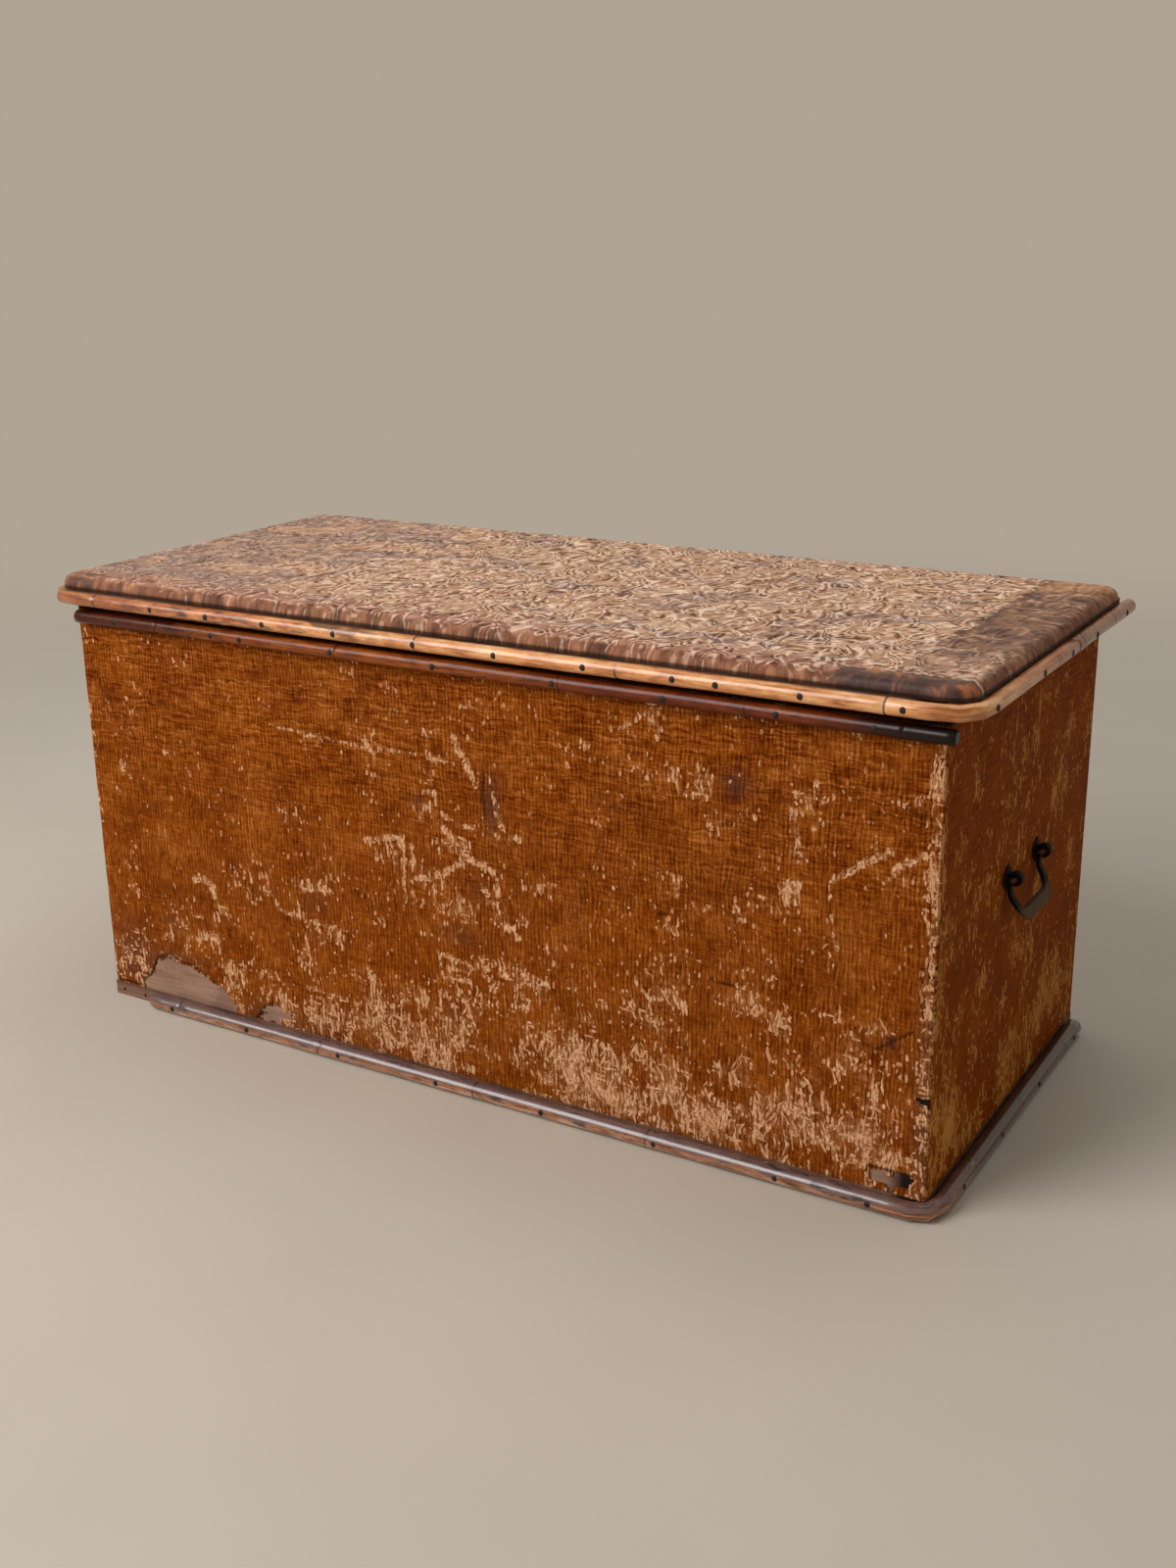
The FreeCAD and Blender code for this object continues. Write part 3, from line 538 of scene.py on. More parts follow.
# stains are given as the rubs are, cracks by line and width; the lines round the tears also paint
# shade along the torn edges
frontStains = [
    (37, 276, 8, 26, 0.75), (263, 330, 14, 10, 0.7), (-398, 34, 34, 26, 0.5),
    (-340, 58, 44, 8, 0.45), (-232, 22, 26, 12, 0.6), (-405, 70, 24, 20, 0.3),
    (-160, 22, 60, 10, 0.25), (396, 143, 9, 7, 0.5), (0, 150, 20, 10, 0.35),
    (-160, 150, 14, 12, 0.35), (20, 195, 8, 10, 0.35), (120, 190, 5, 30, 0.2),
    (-40, 268, 6, 8, 0.5), (424, 150, 8, 60, 0.45), (424, 60, 7, 40, 0.45), (-345, 92, 14, 8, 0.35),
]
frontCracksAndEdgeShade = [
    ([(29, 302), (28, 284), (31, 262)], 1.1), ([(383, 134), (396, 143), (414, 156)], 1.0),
    ([(392, 150), (400, 137)], 0.9), ([(-418, 352), (-410, 330), (-404, 300)], 0.6),
    ([(243, 163), (256, 160), (270, 163)], 0.8), ([(195, 210), (210, 208)], 0.8),
    ([(-391, 12), (-384, 27), (-378, 36), (-370, 51)], 1.6),
    ([(-370, 52), (-352, 57), (-318, 51)], 1.3),
    ([(-318, 51), (-297, 41), (-281, 32), (-269, 12)], 1.1),
    ([(-246, 12), (-234, 27), (-222, 35)], 1.4), ([(382, 34), (417, 34)], 1.0),
    ([(-432, 15), (-404, 17), (-392, 14)], 1.0),
]

# the same on the right end, measured from its middle
endRubs = [
    (-130, 338, 5, 14, 0.6), (-10, 335, 9, 9, 0.7), (70, 355, 6, 8, 0.5), (-25, 295, 6, 12, 0.5),
    (88, 262, 16, 40, 0.6), (8, 278, 6, 10, 0.5), (-85, 275, 5, 14, 0.5), (-60, 165, 8, 14, 0.45),
    (-150, 110, 34, 50, 0.45), (-160, 50, 34, 30, 0.5), (125, 110, 14, 18, 0.5),
    (120, 70, 18, 14, 0.5), (20, 60, 60, 24, 0.35), (150, 200, 10, 30, 0.4),
    (-110, 230, 8, 20, 0.35), (40, 120, 14, 14, 0.3), (-188, 300, 6, 30, 0.6),
    (-188, 190, 6, 40, 0.6), (-188, 90, 7, 40, 0.6), (170, 330, 8, 20, 0.4),
]
endStrokes = [
    ([(72, 226), (84, 262), (104, 296)], 3.4, 1.0), ([(-16, 342), (-4, 334), (-12, 326)], 2.0, 1.1),
    ([(-132, 352), (-128, 328)], 1.6, 1.0), ([(-170, 150), (-150, 120), (-158, 84)], 2.0, 0.9),
    ([(112, 120), (130, 104), (122, 88)], 2.0, 0.95), ([(60, 190), (72, 168)], 1.5, 0.9),
]


def frontWear(x, z):
    wear = 0.20 + 0.20 * fade(z, 112, 42) + 0.06 * fade(x, -60, 200)
    wear += 0.07 * fade(z, 230, 150) - 0.05 * fade(x, -160, -280) * (z > 110)
    wear += 0.52 * (cloud(x, z, 30, 3) - 0.5) + 0.40 * (cloud(x, z, 11, 4) - 0.5)
    for spot in frontRubs:
        wear += 0.44 * blob(x, z, spot)
    broken = 0.45 + 0.75 * cloud(x, z, 6, 5)
    for line, width, strength in frontScratches:
        wear = np.maximum(wear, stroke(x, z, line, 1.5 * width) * strength * broken)
    rightEdge = 0.30 + 0.40 * cloud(x, z, 16, 6) + 0.55 * cloud(x * 2, z, 5, 9)
    wear = np.maximum(wear, fade(x, 412, 422) * rightEdge)
    wear = np.maximum(wear, fade(x, -420, -426) * (0.1 + 0.7 * cloud(x, z, 16, 7)))
    stain = 0.10 * cloud(x, z, 50, 8)
    for spot in frontStains:
        stain += blob(x, z, spot)
    cracksAndEdgeShade = np.zeros(x.shape)
    for line, width in frontCracksAndEdgeShade:
        cracksAndEdgeShade = np.maximum(cracksAndEdgeShade, stroke(x, z, line, width))
    return np.clip(wear, 0, 1.3), np.clip(stain, 0, 1), cracksAndEdgeShade


def endWear(y, z):
    wear = 0.40 + 0.20 * fade(z, 150, 40)
    wear += 0.46 * (cloud(y, z, 30, 13) - 0.5) + 0.36 * (cloud(y, z * 0.5, 12, 14) - 0.5)
    for spot in endRubs:
        wear += 0.5 * blob(y, z, spot)
    broken = 0.5 + 0.7 * cloud(y, z, 6, 15)
    for line, width, strength in endStrokes:
        wear = np.maximum(wear, stroke(y, z, line, 1.3 * width) * strength * broken)
    wear = np.maximum(wear, fade(y, -184, -192) * (0.3 + 0.8 * cloud(y, z, 12, 16)))
    return np.clip(wear, 0, 1.3), 0.10 * cloud(y, z, 50, 18), np.zeros(y.shape)


def plainWear(seed):
    def wearOf(s, z):
        wear = 0.18 + 0.26 * fade(z, 120, 30)
        wear += 0.5 * (cloud(s, z, 44, seed) - 0.5) + 0.3 * (cloud(s, z, 14, seed + 1) - 0.5)
        return np.clip(wear, 0, 1.2), 0.12 * cloud(s, z, 50, seed + 2), np.zeros(s.shape)
    return wearOf


def ragged(u, v):
    # the openings' edges, frayed by coarse and fine noise
    across = 5 * (cloud(u, v, 5, 31) - 0.5) + 4 * (cloud(u, v, 2.4, 33) - 0.5)
    upward = 6 * (cloud(u, v, 5, 32) - 0.5) + 7 * (cloud(u, v, 3.2, 34) - 0.5)
    return u + across, v + upward


def addMatting(name, node, start, along, outward, length, rowHeight, wearOf, openings, rounded):
    columns = 2 * round(length / ribPitch)
    rows = round((caseTop - caseFoot) / rowHeight)
    deselectAll()
    bpy.ops.mesh.primitive_grid_add(x_subdivisions=columns, y_subdivisions=rows, size=1)
    piece = named(name)
    u, v = (points(piece)[:, :2] + 0.5).T
    column = np.rint(u * columns).astype(int)
    s = u * length
    z = caseFoot + v * (caseTop - caseFoot)
    level = (start.x + along.x * s) * abs(along.x) + (start.y + along.y * s) * abs(along.y)
    wear, stain, cracksAndEdgeShade = wearOf(level / mm, z / mm)

    def lumps(size, seed):
        return cloud(s / mm, z / mm, size, seed)

    rise = matting["ribRise"] * (column % 2) * (0.75 + 0.5 * lumps(9, 21))
    rise *= 1 - 0.35 * np.clip(wear, 0, 1)
    rise += matting["ribWander"] * (lumps(5, 22) + lumps(30, 23) - 1)
    rise -= matting["crackDepth"] * cracksAndEdgeShade
    rise *= fade(np.minimum(z - caseFoot, caseTop - z), 0, 2 * mm)
    depth = np.zeros(len(s))
    radius = matting["edgeRound"]
    if rounded:
        for fromEnd in (s, length - s):
            near = np.clip(radius - fromEnd, 0, radius)
            depth += radius - np.sqrt(np.maximum(radius ** 2 - near ** 2, 0))
    sway = matting["ribSway"] * (lumps(30, 24) - 0.5 + 0.4 * (lumps(11, 25) - 0.5))
    sway *= fade(np.minimum(s, length - s), 0, 12 * mm)
    places = np.empty((len(s), 3))
    for axis in (0, 1):
        places[:, axis] = start[axis] + along[axis] * (s + sway) + outward[axis] * (rise - depth)
    places[:, 2] = z
    movePoints(piece, places)
    # each side starts its rib count elsewhere, so that no two sides wear alike
    ribPlace = column / 2 + round(300 * outward.x + 700 * outward.y)
    paint(piece, "wear", wear)
    paint(piece, "stain", stain)
    paint(piece, "crackAndEdgeShade", cracksAndEdgeShade)
    paint(piece, "ribPlace", ribPlace)
    middles = np.empty(len(piece.data.polygons) * 3)
    piece.data.polygons.foreach_get("center", middles)
    frayed = ragged(*middles.reshape(-1, 3)[:, ::2].T / mm)
    gone = np.zeros(len(piece.data.polygons), bool)
    for outline in openings:
        gone |= inside(*frayed, outline)
    openEdit(piece, "FACE", gone)
    if openings:
        bpy.ops.mesh.delete(type="FACE")
    selectBorder()
    if openings:
        bpy.ops.mesh.vertices_smooth(factor=0.4, repeat=1)
    inward = Vector((-outward.x, -outward.y, 0)) * sheetThick
    bpy.ops.mesh.extrude_edges_move(TRANSFORM_OT_translate={"value": inward})
    bpy.ops.mesh.fill()
    closeEdit(50)
    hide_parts(node)
    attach(piece, "case")
    return piece


def mattingMaterial():
    material = startMaterial("variedMatting")
    place, x, y, up = objectMm()
    across = plus(x, y)
    flat = join(across, up)
    wear, stain, crackAndEdgeShade, ribNumber = map(painted, ("wear", "stain", "crackAndEdgeShade", "ribPlace"))

    # the weave's own lines wander a little
    warp = split(put("TexNoise", Vector=flat, Scale=0.085, Detail=2, Roughness=0.55).outputs[1])
    a = swing(warp[0], 7.0, times(ribNumber, ribPitch / mm))
    b = swing(warp[1], 8.0, up)
    ribCell = calc("FLOOR", ribNumber)
    crest = calc("PINGPONG", ribNumber, 0.5)
    weftNumber = calc("DIVIDE", b, matting["weftPitch"])
    ribBand = step(crest, 0.12, 0.26)
    weftBand = step(calc("PINGPONG", weftNumber, 0.5), 0.14, 0.28)

    # bare straw: drops, then strokes of every lean, then combs of ribs and ladders of wefts
    def strokes(lean, turn, wide, tall, reach, gain, least):
        u, v = scaleAdd(b, lean, a), scaleAdd(a, turn, b)
        cell = put("TexVoronoi", {"voronoi_dimensions": "2D"}, Scale=1.0, Randomness=1.0,
                   Vector=join(calc("DIVIDE", u, wide), calc("DIVIDE", v, tall)))
        pick = split(cell.outputs["Color"])
        chosen = calc("LESS_THAN", pick[0], minus(times(wear, gain), least))
        short = minus(cell.outputs["Distance"], scaleAdd(pick[1], reach, 0.5 * reach))
        return times(chosen, step(short, 0.04, -0.06))

    def combs(u, v, layer, harder, band):
        noise = grain(join(u, v, layer), 1, 1, 0.5)
        over = minus(noise, scaleAdd(wear, -0.26, 0.79))
        return times(step(over, harder - 0.010, harder + 0.022), band)

    mask = step(wear, 0.98, 1.10)
    for kind in (
            strokes(0.0, 0.0, 4.2, 9.0, 0.21, 0.66, 0.05),
            strokes(0.10, 0.0, 4.0, 28.0, 0.26, 1.05, 0.36),
            strokes(-0.06, 0.0, 3.4, 46.0, 0.24, 1.30, 0.60),
            strokes(0.50, 0.0, 4.6, 24.0, 0.24, 0.90, 0.40),
            strokes(-0.55, 0.0, 4.6, 22.0, 0.24, 0.90, 0.42),
            strokes(0.0, 0.12, 20.0, 4.2, 0.24, 0.85, 0.42),
            combs(calc("DIVIDE", ribCell, 2.8), calc("DIVIDE", b, 10.0), 9.0, 0.0, ribBand),
            combs(calc("DIVIDE", a, 10.0), calc("DIVIDE", calc("FLOOR", weftNumber), 2.6),
                  13.0, 0.03, weftBand)):
        mask = calc("MAXIMUM", mask, kind)
    fray = streaky(a, up, 0.9, 0.30, 2, roughness=0.5)
    mask = times(mask, step(fray, 0.28, 0.44, 0.45, 1.0))

    # varnished straw: strands along the ribs, weft lines across, clouds of darker varnish
    strand = streaky(a, b, 0.60, 0.045, 3)
    fibre = streaky(across, up, 1.7, 0.10, 2)
    weft = streaky(a, b, 0.035, 0.44, 2, 5.0)
    patches = grain(flat, 0.02, 3, 0.6)
    small = grain(flat, 0.20, 3, 0.6)
    tone = swing(fibre, 0.8, swing(strand, 1.5, 0.5))
    tone = plus(tone, times(step(up, 150.0, 330.0, 0.50, 1.6), minus(weft, 0.5)))
    tone = swing(small, 0.65, swing(patches, 0.8, tone))
    tone = scaleAdd(minus(crest, 0.25), 0.5, tone)
    # painted shade: the right end gets a calmer copy of the matting's tones, as it looks in shade
    shaded = step(x, caseHalfX / mm - 1.4, caseHalfX / mm)
    calmer = swing(tone, 0.55, 0.5)
    tone = put("Mix", {"data_type": "FLOAT"}, i0=shaded, i2=tone, i3=calmer).outputs[0]
    body = ramp(tone, (0.02, 76, 26, 0), (0.30, 112, 48, 3), (0.52, 136, 66, 10),
                (0.74, 156, 84, 24), (0.98, 184, 112, 54))

    # scuffed varnish round the bare places, dry straw in them
    scuffPlace = swing(strand, 0.8, swing(small, 0.9, wear))
    scuffed = ramp(tone, (0.10, 104, 50, 18), (0.50, 150, 92, 48), (0.90, 190, 136, 92))
    colour = blendIn(step(scuffPlace, 0.45, 0.95, 0.0, 0.85), body, scuffed)
    bareTone = streaky(across, up, 0.5, 0.2, 3, 5.0)
    bare = ramp(bareTone, (0.28, 152, 92, 52), (0.46, 200, 142, 98), (0.62, 238, 188, 146),
                (0.8, 250, 212, 178))
    # painted shade: bare straw on the right end takes one tan with less blue, as it looks in shade
    bare = blendIn(shaded, bare, tint(200, 136, 70))
    colour = blendIn(times(stain, 0.9), colour, tint(78, 48, 38))
    # painted shade: on the right end the colour's green and blue are cut down
    colour = blendIn(shaded, colour, (1.04, 0.90, 0.15, 1), "MULTIPLY")
    colour = blendIn(times(mask, step(wear, 0.15, 0.50, 0.62, 0.94)), colour, bare)
    # dark cracks; the lines round the tears are also painted shade along the torn edges
    colour = blendIn(times(crackAndEdgeShade, 0.85), colour, tint(38, 18, 8))
    # painted shade: the matting's top few millimetres, under the lid's overhang, turn nearly black
    underLidShade = step(up, caseTop / mm - 9, caseTop / mm - 4, 0.0, 0.92)
    colour = blendIn(underLidShade, colour, tint(20, 9, 4))

    roughness = scaleAdd(mask, 0.18, scaleAdd(small, 0.25, 0.42))
    height = scaleAdd(mask, -0.4, scaleAdd(strand, 1.0, times(weft, 0.6)))
    return finishMaterial(material, colour, roughness, bump(height, 0.5 * mm, 0.8),
                          Specular_IOR_Level=0.02)


xWay, yWay = Vector((1, 0, 0)), Vector((0, 1, 0))
mattingFinish = mattingMaterial()
sheets = [
    addMatting("frontMatting", "front_covering", Vector((-caseHalfX, -caseHalfY, 0)), xWay, -yWay,
               2 * caseHalfX, matting["rowHeight"], frontWear, frontOpenings, True),
]
print("front matting laid")

endHalf = caseHalfY - matting["edgeRound"]
sheets += [
    addMatting("rightMatting", "right_end_covering", Vector((caseHalfX, -endHalf, 0)), yWay, xWay,
               2 * endHalf, matting["rowHeight"], endWear, [], False),
    addMatting("leftMatting", "left_end_covering", Vector((-caseHalfX, endHalf, 0)), -yWay, -xWay,
               2 * endHalf, matting["leftRow"], plainWear(40), [], False),
    addMatting("backMatting", "back_covering", Vector((caseHalfX, caseHalfY, 0)), -xWay, yWay,
               2 * caseHalfX, matting["backRow"], plainWear(50), [], True),
]
for sheet in sheets:
    dress(sheet, mattingFinish)
print("matting laid on all four sides")


# wood of the boards, battens and panel

wood = {
    "acrossGrain": 0.11,     # noise per mm, coarse rings and fine fibres
    "alongGrain": 0.008,
    "acrossFibre": 0.9,
    "alongFibre": 0.03,
    "cornerShadeFrom": 396.0,       # mm: painted shade, the board's right front corner is black from here to here
    "cornerShadeTo": 412.0,
}


def woodMaterial(name, alongAxis, seed, light, middle, dark, grime, contrast=1.0, holes=(),
                 blackBefore=-190.0):
    # holes: old nail holes, x and height; blackBefore: the black corner, painted shade, lies in
    # front of this
    material = startMaterial(name)
    place, *parts = objectMm()
    x, y, z = parts
    across = [wood["acrossGrain"]] * 3
    across[alongAxis] = wood["alongGrain"]
    fine = [wood["acrossFibre"]] * 3
    fine[alongAxis] = wood["alongFibre"]
    moved = put("VectorMath", {"operation": "ADD"}, i0=join(*map(times, parts, across)),
                i1=(seed, seed * 0.7, seed * 0.3)).outputs[0]
    rings = grain(moved, 1.0, 4, 0.62, 0.6)
    fibres = grain(join(*map(times, parts, fine)), 1, 3, 0.65)
    tone = swing(swing(fibres, 0.6, rings), contrast, 0.5)
    colour = ramp(tone, (0.28, *dark), (0.5, *middle), (0.72, *light))
    dirt = grain(place, 0.03, 4, 0.65)
    colour = blendIn(step(dirt, 0.48, 0.68, 0.0, 0.55 * contrast), colour, tint(*grime))
    # painted shade: near-black at the right front corner, seen through the matting's holes and
    # under the canes' corner
    cornerShade = times(step(x, wood["cornerShadeFrom"], wood["cornerShadeTo"]), step(y, blackBefore, blackBefore - 0.8))
    colour = blendIn(times(cornerShade, 0.98), colour, tint(17, 8, 4))
    for acrossAt, upAt in holes:
        away = radial(minus(x, acrossAt), minus(z, upAt))
        colour = blendIn(step(away, 2.1, 1.2, 0.0, 0.95), colour, tint(24, 14, 10))
    return finishMaterial(material, colour, scaleAdd(fibres, 0.25, 0.60), bump(tone, 0.4 * mm, 0.6),
                          Specular_IOR_Level=0.15)


rawWood = woodMaterial("greyedBoard", 0, 3.0, (172, 138, 116), (146, 110, 90), (104, 74, 58),
                       (82, 60, 48), blackBefore=-199.0)
endWood = woodMaterial("endBoardWood", 1, 8.0, (176, 140, 110), (148, 110, 84), (106, 76, 56),
                       (84, 62, 48))
battenWood = woodMaterial("battenWood", 1, 14.0, (186, 146, 108), (154, 112, 78), (112, 76, 50),
                          (90, 62, 44))
bareWood = woodMaterial("bareBoard", 0, 5.0, (172, 138, 118), (154, 118, 98), (122, 88, 70),
                        (104, 74, 60), 0.7)
footWood = woodMaterial("footBoard", 0, 9.0, (140, 106, 88), (120, 86, 70), (84, 58, 44),
                        (62, 42, 32), 1.0, [(-419.0, 6.5), (-391.0, 5.5)])
for finish, nodeNames in (
        (rawWood, ("back_board", "lid_board", "lid_panel")), (bareWood, ("front_board",)),
        (footWood, ("bottom_board",)), (endWood, ("left_end_board", "right_end_board")),
        (battenWood, ("left_lid_cleat", "right_lid_cleat"))):
    for nodeName in nodeNames:
        dress(fitted[nodeName], finish)
print("boards finished")


# embossed lid covering: one sheet rolled over the raised field's edge

lidSheet = {
    "spacing": 2.06 * mm,
    "edgeRadius": 9.6 * mm,
    "cornerRadius": 21.2 * mm,
    "relief": 0.38 * mm,
    "sag": 0.4 * mm,
    "hem": 0.2 * mm,
    "stripFrom": 384.0,      # mm: the brown strip at the right begins here
    "padFrom": 338.0,        # mm: the smooth dark corner begins here
    "padBack": -180.0,       # and ends here
}
lidLow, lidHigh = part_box("lid_covering")


def squiggles(x, y):
    # broken, wandering ridges with a groove beside them: 0 groove, 0.45 ground, 1 ridge
    bendX = 20 * (cloud(x, y, 30, 61) - 0.5)
    bendY = 24 * (cloud(x, y, 34, 63) - 0.5) + 8 * (cloud(x, y, 12, 64) - 0.5)
    u, v = 0.80 * (x + bendX), 0.55 * (y + bendY)
    level = cloud(u, v, 17, 65) + 0.45 * cloud(u, v, 8, 66)
    wave = np.sin(2 * math.pi * 2.6 * level)
    whole = fade(cloud(x, y, 18, 67), 0.20, 0.50)
    return 0.45 + (0.55 * fade(wave, 0.5, 1) - 0.45 * fade(wave, -0.6, -1)) * whole


def addLidCovering():
    radius, corner = lidSheet["edgeRadius"], lidSheet["cornerRadius"]
    halfX, halfY = lidHigh.x, (lidHigh.y - lidLow.y) / 2
    midY = (lidHigh.y + lidLow.y) / 2
    wall = lidHigh.z - lidLow.z - radius
    innerX, innerY, innerCorner = halfX - radius, halfY - radius, corner - radius
    roll = radius * math.pi / 2 + wall
    columns, rows = (round(2 * (inner + roll) / lidSheet["spacing"]) for inner in (innerX, innerY))
    deselectAll()
    bpy.ops.mesh.primitive_grid_add(x_subdivisions=columns, y_subdivisions=rows, size=2)
    piece = named("lidCovering")
    flat = points(piece)
    x, y = flat[:, 0] * (innerX + roll), flat[:, 1] * (innerY + roll)
    # the flat sheet's square corners are drawn in to the round
    big = innerCorner + roll
    a = np.clip(np.abs(x) - (innerX + roll - big), 0, None) / big
    b = np.clip(np.abs(y) - (innerY + roll - big), 0, None) / big
    x = np.sign(x) * (np.abs(x) - a * big * (1 - np.sqrt(1 - b * b / 2)))
    y = np.sign(y) * (np.abs(y) - b * big * (1 - np.sqrt(1 - a * a / 2)))
    # what lies past the flat top goes down over the edge
    outX = np.clip(np.abs(x) - (innerX - innerCorner), 0, None)
    outY = np.clip(np.abs(y) - (innerY - innerCorner), 0, None)
    far = np.hypot(outX, outY)
    past = np.clip(far - innerCorner, 0, None)
    safe = np.where(far > 0, far, 1)
    normalX, normalY = np.sign(x) * outX / safe, np.sign(y) * outY / safe
    angle = np.clip(past / radius, 0, math.pi / 2)
    down = np.clip(past - radius * math.pi / 2, 0, None)
    relief = squiggles(x / mm, y / mm)
    lift = lidSheet["relief"] * (relief - 1) * np.clip((wall * 0.9 - down) / wall + 0.1, 0, 1)
    lift -= lidSheet["sag"] * cloud(x / mm, y / mm, 60, 68) * np.clip(1 - past / radius, 0, 1)
    out = radius * np.sin(angle) - past + np.sin(angle) * lift
    movePoints(piece, np.stack([
        x + normalX * out, midY + y + normalY * out,
        lidHigh.z - radius * (1 - np.cos(angle)) - down + np.cos(angle) * lift], 1))
    paint(piece, "relief", relief)
    paint(piece, "flatPlace", np.stack([x, y, past], 1))
    work(piece)
    enter("EDIT")
    selectBorder()
    bpy.ops.mesh.extrude_edges_move(TRANSFORM_OT_translate={"value": (0, 0, -lidSheet["hem"])})
    bpy.ops.mesh.edge_face_add()
    closeEdit(60)
    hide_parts("lid_covering")
    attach(piece, "lid")
    return piece


def lidCoveringMaterial():
    material = startMaterial("embossedCovering")
    place, x, y, z = objectMm()
    relief = painted("relief")
    past = times(split(painted("flatPlace", vector=True))[2], 1 / mm)
    stripFrom, padFrom, padBack = (lidSheet[key] for key in ("stripFrom", "padFrom", "padBack"))

    def onLid(*settings):
        return streaky(x, y, *settings)

    # fine embossed lines between the modelled ridges
    def embossed(wide, deep, layer, count):
        level = times(onLid(wide, deep, 1, layer, 0.35, 0.5), count)
        line = calc("PINGPONG", level, 0.5)
        broken = step(onLid(0.075, 0.055, 2, layer + 5.0, 0.5), 0.44, 0.54)
        return times(step(line, 0.32, 0.42), broken), times(step(line, 0.16, 0.05), broken)

    bold, thin = embossed(0.030, 0.019, 0.0, 11.0), embossed(0.040, 0.036, 21.0, 8.0)
    ridge, groove = (calc("MAXIMUM", *pair) for pair in zip(bold, thin))
    fine = onLid(0.20, 0.09, 3, 0.0, 0.6, 0.8)
    lines = scaleAdd(groove, -0.26, times(ridge, 0.44))
    kept = scaleAdd(onLid(0.012, 0.012, 2, 11.0, 0.5), 260.0, x)
    lines = times(lines, step(kept, -230.0, 30.0, 0.5, 1.0))
    # the colour is lighter on the ridges and darker in the grooves: partly the covering's own
    # rubbed colour, partly painted highlight and shade of the embossing
    tone = swing(fine, 0.38, plus(scaleAdd(relief, 0.30, lines), 0.20))
    rubbed = ramp(tone, (0.0, 88, 54, 38), (0.18, 152, 106, 78), (0.36, 202, 155, 122),
                  (0.62, 232, 192, 160), (0.92, 255, 226, 198))
    worn = ramp(tone, (0.0, 70, 48, 40), (0.22, 128, 98, 86), (0.38, 163, 130, 116),
                (0.88, 240, 208, 186))
    reddish = ramp(tone, (0.0, 78, 44, 34), (0.22, 146, 96, 78), (0.42, 184, 132, 108),
                   (0.88, 246, 208, 178))

    # darker varnish kept in patches, on the left and along the front
    broad = onLid(0.010, 0.017, 4, 0.0, 0.62)
    small = onLid(0.035, 0.06, 3, 7.0)
    patchy = swing(small, 0.45, plus(broad, step(x, -60.0, -430.0, 0.0, 0.12)))
    colour = blendIn(step(patchy, 0.52, 0.62, 0.0, 0.85), rubbed, worn)
    frontBand = swing(small, 60.0, y)
    colour = blendIn(step(frontBand, -162.0, -180.0, 0.0, 0.85), colour, reddish)

    # right-hand strip: brown, amber in the back corner, its border torn and dark
    torn = swing(onLid(0.05, 0.09, 4, 3.0, 0.7), 44.0, x)
    stripTone = scaleAdd(relief, 0.35, onLid(0.03, 0.05, 4, 2.0, 0.6, 0.8))
    purple = ramp(stripTone, (0.45, 78, 54, 48), (0.62, 120, 86, 70), (0.74, 150, 108, 84),
                  (0.95, 206, 164, 134))
    amber = ramp(stripTone, (0.45, 118, 76, 46), (0.65, 176, 126, 88), (0.90, 206, 158, 116))
    strip = blendIn(step(y, 120.0, 150.0), purple, amber)
    kept = step(y, -150.0, -40.0, 0.35, 0.92)
    colour = blendIn(times(step(torn, stripFrom, stripFrom + 3), kept), colour, strip)
    border = times(step(torn, stripFrom - 3, stripFrom + 0.5),
                   step(torn, stripFrom + 5.5, stripFrom + 2))
    colour = blendIn(times(border, times(kept, 0.7)), colour, tint(74, 52, 46))

    # rolled edge, and the smooth dark corner with its scalloped border
    edgeTone = onLid(0.05, 0.05, 4, 4.0, 0.6, 1.0)
    rolledColour = ramp(edgeTone, (0.32, 70, 42, 30), (0.50, 128, 80, 56), (0.66, 176, 120, 84))
    rolled = times(step(past, 2.0, 8.0, 0.0, 0.9), step(tone, 0.80, 0.60, 0.65, 1.0))
    colour = blendIn(rolled, colour, rolledColour)
    padLine = scaleAdd(calc("PINGPONG", calc("DIVIDE", x, 9.0), 0.5), 6.0, y)
    padRight = step(x, padFrom, padFrom + 8)
    padLeft = step(torn, -396.0, -404.0, 0.0, 0.7)
    pad = times(step(padLine, padBack, padBack - 1.5), plus(padRight, padLeft))
    padColour = ramp(edgeTone, (0.40, 74, 52, 48), (0.54, 104, 72, 60), (0.62, 172, 104, 66))
    colour = blendIn(times(pad, 0.95), colour, padColour)
    scallops = times(step(padLine, padBack + 3.5, padBack + 1.5),
                     step(padLine, padBack - 2, padBack - 0.5))
    scallops = times(times(scallops, padRight), step(small, 0.44, 0.54, 0.1, 0.85))
    colour = blendIn(scallops, colour, tint(226, 190, 162))
    # painted shade: where the sheet turns down behind the cane it goes nearly black
    colour = blendIn(times(step(past, 13.5, 16.0), 0.85), colour, tint(30, 17, 11))

    height = times(scaleAdd(fine, 0.8, minus(times(ridge, 0.8), groove)), minus(1.0, pad))
    roughness = scaleAdd(fine, 0.3, step(pad, 0.0, 1.0, 0.42, 0.22))
    return finishMaterial(material, colour, roughness, bump(height, 0.5 * mm, 0.7),
                          Specular_IOR_Level=0.12)


dress(addLidCovering(), lidCoveringMaterial())
print("lid covering rolled over its field")


# bamboo cane

cane = {
    "sides": 28,
    "ringStep": 4.5 * mm,
    "ridge": 0.35 * mm,
    "groove": 0.65 * mm,
    "wobble": 0.22 * mm,
    "chamfer": 1.8 * mm,
    "margin": 0.6 * mm,      # a fitted cane's node stands this far out of its round
    "lidBend": 27.2 * mm,
    "baseBend": 18.2 * mm,
    "baseRadius": 7.5 * mm,
}


